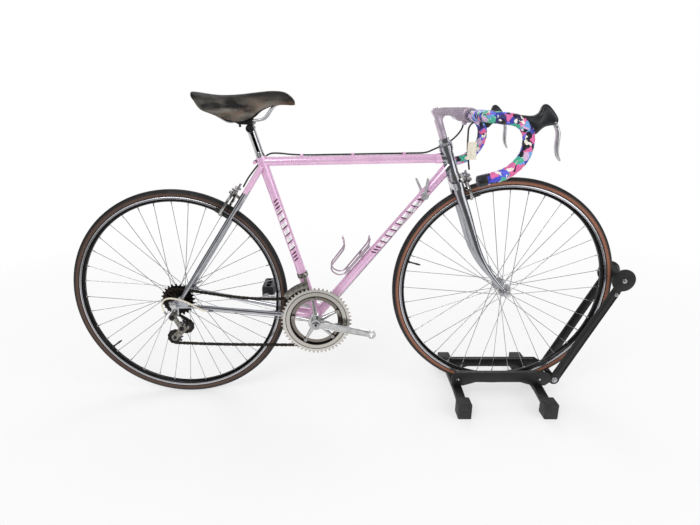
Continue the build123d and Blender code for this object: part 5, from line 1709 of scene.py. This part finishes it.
@dataclass
class Brake:
    """A side-pull brake, placed square to its mounting bolt."""

    end: str
    body: Body
    origin: Vector
    left: Vector
    down: Vector
    out: Vector
    depth: float
    stand_off: float
    arm: float = 7.5
    pad_left: float = 16.0
    # (start, end, how proud) of the blocks along a pad
    pad_blocks: tuple[tuple[float, float, float], ...] = (
        (-24.2, 24.2, 0.0), (-20.0, -14.0, 0.25), (-8.0, -2.0, 0.25), (4.0, 10.0, 0.25), (15.0, 20.0, 0.25),
    )

    def place(self, left: float, down: float, out: float) -> Vector:
        """World point across, down to the rim and out from the frame."""
        return self.origin + (self.left * left + self.down * down + self.out * out) * MM

    def pads(self) -> Thing:
        """Rubber pads, grooved across."""
        middle_out = self.stand_off + self.arm
        parts = []
        for side in Side:
            for start, end, proud in self.pad_blocks:
                half = 4.7 + proud
                rise = 5.2 + proud
                level = self.place(side.value * self.pad_left - half, self.depth - rise, middle_out + start)
                corners = [
                    level,
                    level + self.left * 2 * half * MM,
                    level + (self.left * 2 * half + self.down * 2 * rise) * MM,
                    level + self.down * 2 * rise * MM,
                ]
                parts.append(plate(corners, self.out * (end - start) * MM, 0.5))
        return joined(parts)

    def hardware(self) -> Thing:
        """Centre nut, pad nuts, cable adjuster and anchor."""
        outer = self.stand_off + 2 * self.arm
        parts = [
            rod(self.place(0, 0, outer), self.place(0, 0, outer + 3.0), 7.0, 6.4, sides=24, rounding=0.6),
            rod(self.place(0, 0, outer + 3.0), self.place(0, 0, outer + 8.0), 5.6, 5.0, sides=6, rounding=0.8),
        ]
        for side in Side:
            reach = side.value
            level = self.stand_off + self.arm
            parts.append(rod(
                self.place(reach * 20.0, self.depth, level),
                self.place(reach * 29.0, self.depth, level),
                4.4, 4.0, sides=6, rounding=0.6,
            ))
            parts.append(rod(
                self.place(reach * -22.0, -17.0, self.stand_off - 1.0),
                self.place(reach * -22.0, -17.0, outer + 3.0),
                3.6, sides=6, rounding=0.5,
            ))
        barrel = [self.place(22.0, down, self.stand_off + self.arm) for down in (-12.0, -24.0, -34.0)]
        parts.append(rod(barrel[0], barrel[1], 4.6, 4.2, sides=10, rounding=0.6))
        parts.append(rod(barrel[1], barrel[2], 3.4, 3.0, sides=18, rounding=0.5))
        spring = self.stand_off - 2.0
        parts.append(rod(self.place(-30, 22, spring), self.place(30, 22, spring), 1.3, sides=10))
        return joined(parts)

    def build(self) -> None:
        """Make and dress the brake."""
        node = f"{self.end}_brake"
        arms = softened(node, 1.6, segments=3)
        finished(arms, f"{self.end}_brake_arms", self.body, BRAKE_ALLOY, [node])
        finished(self.pads(), f"{self.end}_brake_pads", self.body, PAD_RUBBER)
        finished(self.hardware(), f"{self.end}_brake_bolts", self.body, STEEL)


def both_brakes() -> list[Brake]:
    """The rear brake on its bridge and the front brake on the fork crown."""
    back, down = BIKE.heading(-0.819, 0, 0.573).normalized(), BIKE.heading(-0.573, 0, -0.819).normalized()
    rear = Brake("rear", Body.FRAME, BIKE.at(218.9, 0, 296.5) + back * 6 * MM, LEFTWARD, down, back, 64.0, 14.0)
    front = Brake(
        "front", Body.FRONT, BIKE.steer(15.0, 0, 350.5), LEFTWARD * -1, BIKE.steering_axis * -1,
        BIKE.steering_forward, 46.0, 8.0,
    )
    return [rear, front]


# ---------------------------------------------------------------- cables, tag and cage
@dataclass
class Fittings:
    """Brake and gear cables, the paper tag and the bottle cage."""

    housing_r: float = 2.5
    wire_r: float = 1.2
    tube_r: float = 12.9
    down_tube_r: float = 14.5
    tag_size: tuple[float, float] = (26.0, 48.0)

    @property
    def tube_run(self) -> Vector:
        """Direction of the top tube, to the rear."""
        front, back = BIKE.top_tube
        return (back - front).normalized()

    def on_top_tube(self, forward: float, left: float = 0.0, lift: float = 0.0) -> Vector:
        """World point of a cable that lies along the top of the top tube."""
        share = (BRACKET_FORWARD + 396.0 - forward) / 530.0
        front, back = BIKE.top_tube
        return front.lerp(back, share) + Vector((0, left, self.tube_r + self.housing_r + 0.3 + lift)) * MM

    def front_brake_cable(self) -> None:
        """Housing from the right lever's tape down to the front brake."""
        route = [
            BIKE.bar(-2, -58, -17.4),
            BIKE.bar(-9, -38, -26),
            BIKE.bar(-7, -28, -54),
            BIKE.bar(-7, -28, -84),
            BIKE.bar(-3, -24, -114),
            BIKE.bar(2, -23, -146),
        ]
        cable = finished(cord_curve(route, self.housing_r), "front_cable", Body.FRONT, LACQUER, ["front_brake_cable"])
        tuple(route[0])

    def rear_brake_cables(self) -> None:
        """Housing that loops from the bar to the top tube and runs along it to the rear brake."""
        end = self.on_top_tube(735)
        loop = [
            BIKE.bar(-2, 58, -17.4),
            BIKE.bar(-2, 48, -28),
            BIKE.bar(-12, 42, -46),
            BIKE.bar(-34, 34, -66),
            BIKE.bar(-62, 25, -81),
            BIKE.bar(-90, 10, -88),
            end - self.tube_run * 18 * MM,
            end,
        ]
        bend = smooth_cord(loop, self.housing_r)
        finished(bend, "rear_cable_loop", Body.FRONT, LACQUER, ["rear_brake_loop"], rides=False)
        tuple(loop[2])
        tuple(loop[-2])
        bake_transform(bend)
        along = [
            end,
            end + self.tube_run * 42 * MM,
            self.on_top_tube(640, 0, 0.1),
            self.on_top_tube(585, 1, 0.2),
            self.on_top_tube(530, 0, 0.1),
            self.on_top_tube(475, 1, 0.2),
            self.on_top_tube(420, 0, 0.1),
            self.on_top_tube(370, 4, 2),
            self.on_top_tube(334, 14, 6),
            self.on_top_tube(300, 25, 5),
            BIKE.at(270, 28, 392),
            BIKE.at(250, 27, 370),
            BIKE.at(232, 27, 348),
            BIKE.at(220.5, 27, 328.5),
        ]
        cable = finished(cord_curve(along, self.housing_r), "rear_cable", Body.FRAME, LACQUER, ["rear_brake_cable"])
        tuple(along[0])

    def cable_guides(self) -> Thing:
        """Three small brazed guides that hold the rear brake's housing to the top tube."""
        parts = []
        for forward in (690.0, 545.0, 400.0):
            middle = self.on_top_tube(forward)
            ring = ((2.6, -4), (2.6, 4), (3.0, 4.4), (3.9, 4.4), (4.3, 4), (4.3, -4), (3.9, -4.4), (3.0, -4.4))
            parts.append(turned(ring, middle, self.tube_run, 28, closed=True))
            foot = middle - Vector((0, 0, 3.2)) * MM
            parts.append(rod(foot + self.tube_run * 4 * MM, foot - self.tube_run * 4 * MM, 1.8, sides=12, rounding=0.5))
        return joined(parts)

    def gear_cables(self) -> None:
        """Bare wires under the down tube, their guide, and the housing to the rear derailleur."""
        head = BIKE.down_tube_head
        run = (BIKE.bracket - head).normalized()
        low = run.cross(LEFTWARD).normalized()
        if low.z > 0:
            low = -low
        boss = head + run * 112 * MM

        def under(along: float, left: float) -> Vector:
            """World point just below the down tube."""
            depth = ((self.down_tube_r + self.wire_r + 0.8) ** 2 - left ** 2) ** 0.5
            return head + (run * along + low * depth + LEFTWARD * left) * MM

        wires = []
        for side in Side:
            start = boss + LEFTWARD * side.value * 20.5 * MM + run * 13 * MM
            middle = under(272, side.value * 12)
            end = under(545, side.value * 6)
            wires += [rod(start, middle, self.wire_r, sides=8), rod(middle, end, self.wire_r, sides=8)]
        stop = BIKE.at(112, -61, -29)
        wires.append(rod(BIKE.at(BRACKET_FORWARD - 8, -7, BRACKET_UP - 21.5), stop, self.wire_r, sides=8))
        guide_low, guide_up = BRACKET_UP - 23.5, BRACKET_UP - 19.5
        outline = [
            (BRACKET_FORWARD - 15, guide_low), (BRACKET_FORWARD + 15, guide_low),
            (BRACKET_FORWARD + 15, guide_up), (BRACKET_FORWARD - 15, guide_up),
        ]
        wires.append(side_plate(outline, 0.0, 26.0, rounding=0.8))
        finished(joined(wires), "gear_wires", Body.FRAME, STEEL)
        route = [
            BIKE.at(100, -62.5, -27.5),
            BIKE.at(94, -63.25, -26.75),
            BIKE.at(82, -69, -22.5),
            BIKE.at(64, -78, -6),
            BIKE.at(42, -81, 11),
            BIKE.at(13, -84, 23),
            BIKE.at(-13, -84, 26),
            BIKE.at(-29, -84, 17),
            BIKE.at(-34, -83, -4),
            BIKE.at(-24, -80, -29),
        ]
        cable = finished(cord_curve(route, self.housing_r), "gear_housing", Body.FRAME, CREAM_HOUSING, ["gear_cables"])
        ahead = route[0] + (route[0] - route[1]).normalized() * 3 * MM
        ferrules = joined([
            rod(ahead, route[0].lerp(route[1], 1.2), 3.3, sides=16, rounding=0.5),
            rod(route[-1].lerp(route[-2], 0.45), route[-1], 3.3, sides=16, rounding=0.5),
        ])
        finished(ferrules, "housing_ferrules", Body.FRAME, STEEL)
        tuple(route[0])

    def tag(self) -> None:
        """Blank paper tag that hangs on the front brake's cable, a little curled."""
        centre = BIKE.bar(5, -30.85, -94)
        width, height = self.tag_size

        def place(along: float, around: float) -> Vector:
            """Point of the curled paper."""
            across, rise = (along - 0.5) * width, (around - 0.5) * height
            curl = 1.6 * cos(along * pi) + 2.0 * (0.5 - around) ** 2
            return centre + BIKE.heading(across, -curl - 0.6, rise)

        paper = laid_grid(18, 26, place, close=False)
        wall = paper.modifiers.new("paper", "SOLIDIFY")
        wall.thickness = 0.0004
        bpy.ops.object.modifier_apply(modifier=wall.name)
        finished(paper, "paper_label", Body.FRONT, PAPER, ["paper_tag"])

    def build(self) -> None:
        """Make and dress the fittings."""
        self.front_brake_cable()
        self.rear_brake_cables()
        self.gear_cables()
        finished(self.cable_guides(), "cable_guides", Body.FRAME, PAINT)
        self.tag()
        dressed("bottle_cage", CAGE_METAL)


@dataclass
class FloorStand:
    """Black floor stand that grips the front wheel."""

    pivot: tuple[float, float] = (182.0, 64.0)
    head: tuple[float, float] = (345.0, 395.0)
    arm_left: float = 43.0
    arm_half: float = 4.0
    # the rails' lip: where it starts and ends ahead, and its height
    lip: tuple[float, float, float] = (-126.0, 148.0, 91.2)
    brace: tuple[float, float] = (328.0, 352.0)
    leg_bolts: tuple[float, float] = (-124.0, 131.0)

    def spot(self, ahead: float, left: float, height: float) -> Vector:
        """World point ahead of the front axle and above the floor, in millimetres."""
        return Vector((BIKE.front.x, 0, 0)) + Vector((ahead, left, height)) * MM

    def rib(self, side: Side) -> Thing:
        """Raised rib down the outer face of an arm, near its rear edge."""
        run = Vector((self.head[0] - self.pivot[0], self.head[1] - self.pivot[1])).normalized()
        square = Vector((-run.y, run.x))
        start = Vector(self.pivot) + run * 22
        end = Vector(self.head) - run * 38
        face = side.value * (self.arm_left + self.arm_half)
        parts = []
        for offset in (4.0, -12.0):
            corners = [
                start + square * offset, end + square * offset,
                end + square * (offset + 2.6), start + square * (offset + 2.6),
            ]
            outline = [self.spot(corner.x, face - side.value * 0.5, corner.y) for corner in corners]
            parts.append(plate(outline, LEFTWARD * side.value * 1.9 * MM, 0.5))
        return joined(parts)

    def bolts(self) -> Thing:
        """Bolt heads and nuts on the arms, the pivot and the legs."""
        parts = []
        reach = self.arm_left + self.arm_half
        for ahead, height, radius in ((*self.pivot, 7.0), (*self.head, 5.0), (*self.brace, 4.0)):
            for side in Side:
                start = self.spot(ahead, side.value * (reach - 0.5), height)
                washer = start + LEFTWARD * side.value * 3.5 * MM
                parts.append(rod(start, washer, radius + 2.5, radius + 2.0, rounding=0.5))
                parts.append(rod(start, start + LEFTWARD * side.value * 7.5 * MM, radius, sides=6, rounding=0.8))
        for ahead in self.leg_bolts:
            for side in Side:
                start = self.spot(ahead, side.value * 52.5, 70.0)
                parts.append(rod(start, start + LEFTWARD * side.value * 5.5 * MM, 5.0, sides=6, rounding=0.8))
        return joined(parts)

    def flanges(self) -> Thing:
        """Folded lips along the rails' top edges."""
        start, end, height = self.lip
        parts = []
        for side in Side:
            inner = side.value * 46.0
            outer = inner - side.value * 9.0
            outline = ((start, inner), (end, inner), (end, outer), (start, outer))
            corners = [self.spot(ahead, left, height) for ahead, left in outline]
            parts.append(plate(corners, Vector((0, 0, -2.4 * MM)), 0.6))
        return joined(parts)

    def build(self) -> None:
        """Make and dress the stand."""
        finished(softened("stand_rails", 1.4), "rail_plates", Body.FRONT, STAND_PAINT, ["stand_rails"])
        finished(softened("stand_legs", 2.0), "leg_bars", Body.FRONT, STAND_PAINT, ["stand_legs"])
        finished(softened("stand_feet", 5.0, segments=3), "foot_boots", Body.FRONT, FOOT_RUBBER, ["stand_feet"])
        for side in Side:
            name = side.word
            finished(softened(f"stand_arm_{name}", 2.0), f"arm_{name}", Body.FRONT, STAND_PAINT, [f"stand_arm_{name}"])
            finished(self.rib(side), f"arm_ribs_{name}", Body.FRONT, STAND_PAINT)
        finished(self.bolts(), "stand_bolts", Body.FRONT, STEEL)
        finished(self.flanges(), "rail_lips", Body.FRONT, STAND_PAINT)
        finished(softened("stand_holder", 1.5), "wheel_cones", Body.FRONT, STAND_PAINT, ["stand_holder"])


# ---------------------------------------------------------------- studio
@dataclass
class Studio:
    """Camera, pale floor and soft lights."""

    eye: tuple[float, float, float] = (494.3, -1418.2, 891.1)
    yaw: float = -1.039
    pitch: float = 17.97
    roll: float = -0.559
    focal: float = 489.0
    frame_width: float = 700.0
    centre_x: float = 330.86
    centre_y: float = 265.7
    frame_height: float = 525.0
    sensor: float = 36.0
    floor_size: float = 60.0
    # glow level that the floor shows to glossy rays far in front of the bicycle: a painted reflection
    far_floor_glow: float = 0.16
    # (position, level) stops of the room's light, and of what polished metal mirrors by height and round about
    room: Outline = ((0.0, 0.75), (0.10, 0.50), (0.22, 0.95), (0.42, 0.30), (0.60, 0.85), (1.0, 0.55))
    gloss_height: Outline = (
        (0.0, 0.8), (0.06, 0.5), (0.12, 1.0), (0.30, 0.95), (0.36, 0.2), (0.55, 0.15), (0.62, 1.0), (1.0, 1.0),
    )
    gloss_round: Outline = (
        (0.0, 1.0), (0.17, 0.95), (0.21, 0.10), (0.33, 0.08), (0.36, 0.75), (0.44, 0.95), (0.47, 0.25), (0.53, 0.20),
        (0.56, 1.05), (0.62, 0.95), (0.65, 0.10), (0.77, 0.08), (0.82, 0.95), (1.0, 1.0),
    )

    def camera(self) -> None:
        """Camera at the bicycle's drive side, looking slightly down."""
        turn = Euler((radians(90 - self.pitch), 0, radians(-self.yaw)), "XYZ").to_matrix()
        lens = bpy.data.cameras.new("camera")
        lens.sensor_width = self.sensor
        lens.lens = self.focal / self.frame_width * self.sensor
        lens.shift_x = (self.frame_width / 2 - self.centre_x) / self.frame_width
        lens.shift_y = (self.centre_y - self.frame_height / 2) / self.frame_width
        lens.clip_start = 0.01
        camera = bpy.data.objects.new("camera", lens)
        stand_point = Vector((BIKE.rear.x, 0, 0)) + Vector(self.eye) * MM
        camera.matrix_world = Matrix.Translation(stand_point) @ (
            turn @ Matrix.Rotation(radians(self.roll), 3, "Z")
        ).to_4x4()
        bpy.context.scene.collection.objects.link(camera)
        bpy.context.scene.camera = camera

    def floor(self) -> None:
        """Pale floor that fades to the white surround and keeps the shadows; to glossy rays it is a painted glow that
        dims away from the bicycle.
        """
        deselect()
        bpy.ops.mesh.primitive_circle_add(vertices=96, radius=self.floor_size, fill_type="NGON", location=(0, 0, 0))
        floor = bpy.context.object
        floor.name = "studio_floor"
        recipe = Recipe("floor_finish")
        recipe.set(Base_Color=colour("FAFAFA"), Roughness=0.9, Specular_IOR_Level=0.1)
        path = recipe.node("LightPath", {})
        glow = recipe.node("Emission", {"Color": (1, 1, 1, 1), "Strength": 1.0})
        distance = recipe.node("VectorMath", {0: recipe.place}, operation="LENGTH").outputs["Value"]
        far = recipe.span(distance, 0.9, 2.6, 0.55, 1.0)
        share = recipe.math("MULTIPLY", far, path.outputs["Is Camera Ray"])
        blended = recipe.node("MixShader", {0: share, 1: recipe.shader.outputs[0], 2: glow.outputs[0]})
        # To glossy rays the floor glows, bright near the bicycle and dim farther in front: a painted reflection that
        # darkens the metal.
        across = recipe.node("SeparateXYZ", {0: recipe.place}).outputs[1]
        level = recipe.span(across, -0.75, -1.7, 0.95, self.far_floor_glow)
        mirror = recipe.node("Emission", {"Color": (1, 1, 1, 1), "Strength": level})
        both = recipe.node("MixShader", {0: path.outputs["Is Glossy Ray"], 1: blended.outputs[0], 2: mirror.outputs[0]})
        output = recipe.tree.nodes["Material Output"]
        recipe.feed(output.inputs["Surface"], both.outputs[0])
        floor.data.materials.append(recipe.material)

    def surround(self) -> None:
        """White world for the camera, and a soft studio gradient for everything else."""
        world = bpy.data.worlds.new("studio")
        bpy.context.scene.world = world
        world.use_nodes = True
        bench = Bench(world.node_tree)
        path, where = bench.node("LightPath", {}), bench.node("TexCoord", {})
        split = bench.node("SeparateXYZ", {0: where.outputs["Generated"]})
        ahead = bench.math("MULTIPLY", split.outputs[1], -1.0)
        turn = bench.span(bench.math("ARCTAN2", split.outputs[0], ahead), -pi, pi, 0.0, 1.0)
        soft = self.levels(bench, split.outputs[2], self.room)
        tall = self.levels(bench, split.outputs[2], self.gloss_height)
        wide = self.levels(bench, turn, self.gloss_round)
        either = bench.mix(path.outputs["Is Glossy Ray"], soft, bench.mix(1.0, tall, wide, "MULTIPLY"))
        back = bench.tree.nodes["Background"]
        bench.feed(back.inputs["Color"], bench.mix(path.outputs["Is Camera Ray"], either, (1, 1, 1, 1)))
        bench.feed(back.inputs["Strength"], 1.0)

    def levels(self, bench: Bench, factor: object, stops: Outline) -> Socket:
        """Grey levels along a factor, as (position, level) stops."""
        return bench.ramp(factor, [(position, (level, level, level * 1.01, 1)) for position, level in stops])

    def lamp(self, name: str, spot: tuple[float, float, float], size: float, power: float) -> None:
        """Square soft light aimed at the middle of the bicycle.

        Args:
            name: Name of the light.
            spot: Its place in metres.
            size: Side of its panel in metres.
            power: Its power in watts.
        """
        data = bpy.data.lights.new(name, "AREA")
        data.size = size
        data.energy = power
        light = bpy.data.objects.new(name, data)
        aim = Vector((0, 0, 0.45)) - Vector(spot)
        light.matrix_world = Matrix.Translation(spot) @ aim.to_track_quat("-Z", "Y").to_matrix().to_4x4()
        bpy.context.scene.collection.objects.link(light)

    def build(self) -> None:
        """Set up the studio."""
        bpy.context.scene.view_settings.view_transform = "Standard"
        self.camera()
        self.floor()
        self.surround()
        self.lamp("key", (-1.2, -2.6, 2.6), 1.6, 38.0)
        self.lamp("fill", (2.2, -1.6, 1.4), 1.8, 14.0)
        self.lamp("back", (0.4, 2.6, 2.2), 2.0, 22.0)


def main() -> None:
    """Build the scene in order."""
    logging.basicConfig(level=logging.INFO, format="%(name)s: %(message)s")
    Studio().build()
    # The rear tyre's wall and edge tones are darker than the front's, though both tyres are the same gum rubber:
    # painted shade.
    Wheel("front", Body.FRONT_WHEEL, 164.2, "945F48", "5E3E30").build()
    Wheel("rear", Body.REAR_WHEEL, 216.2, "523A2E", "30231D").build()
    FrameSet().build()
    Seat().build()
    Cockpit().build()
    Drivetrain().build()
    for brake in both_brakes():
        brake.build()
    Fittings().build()
    FloorStand().build()


if __name__ == "__main__":
    main()
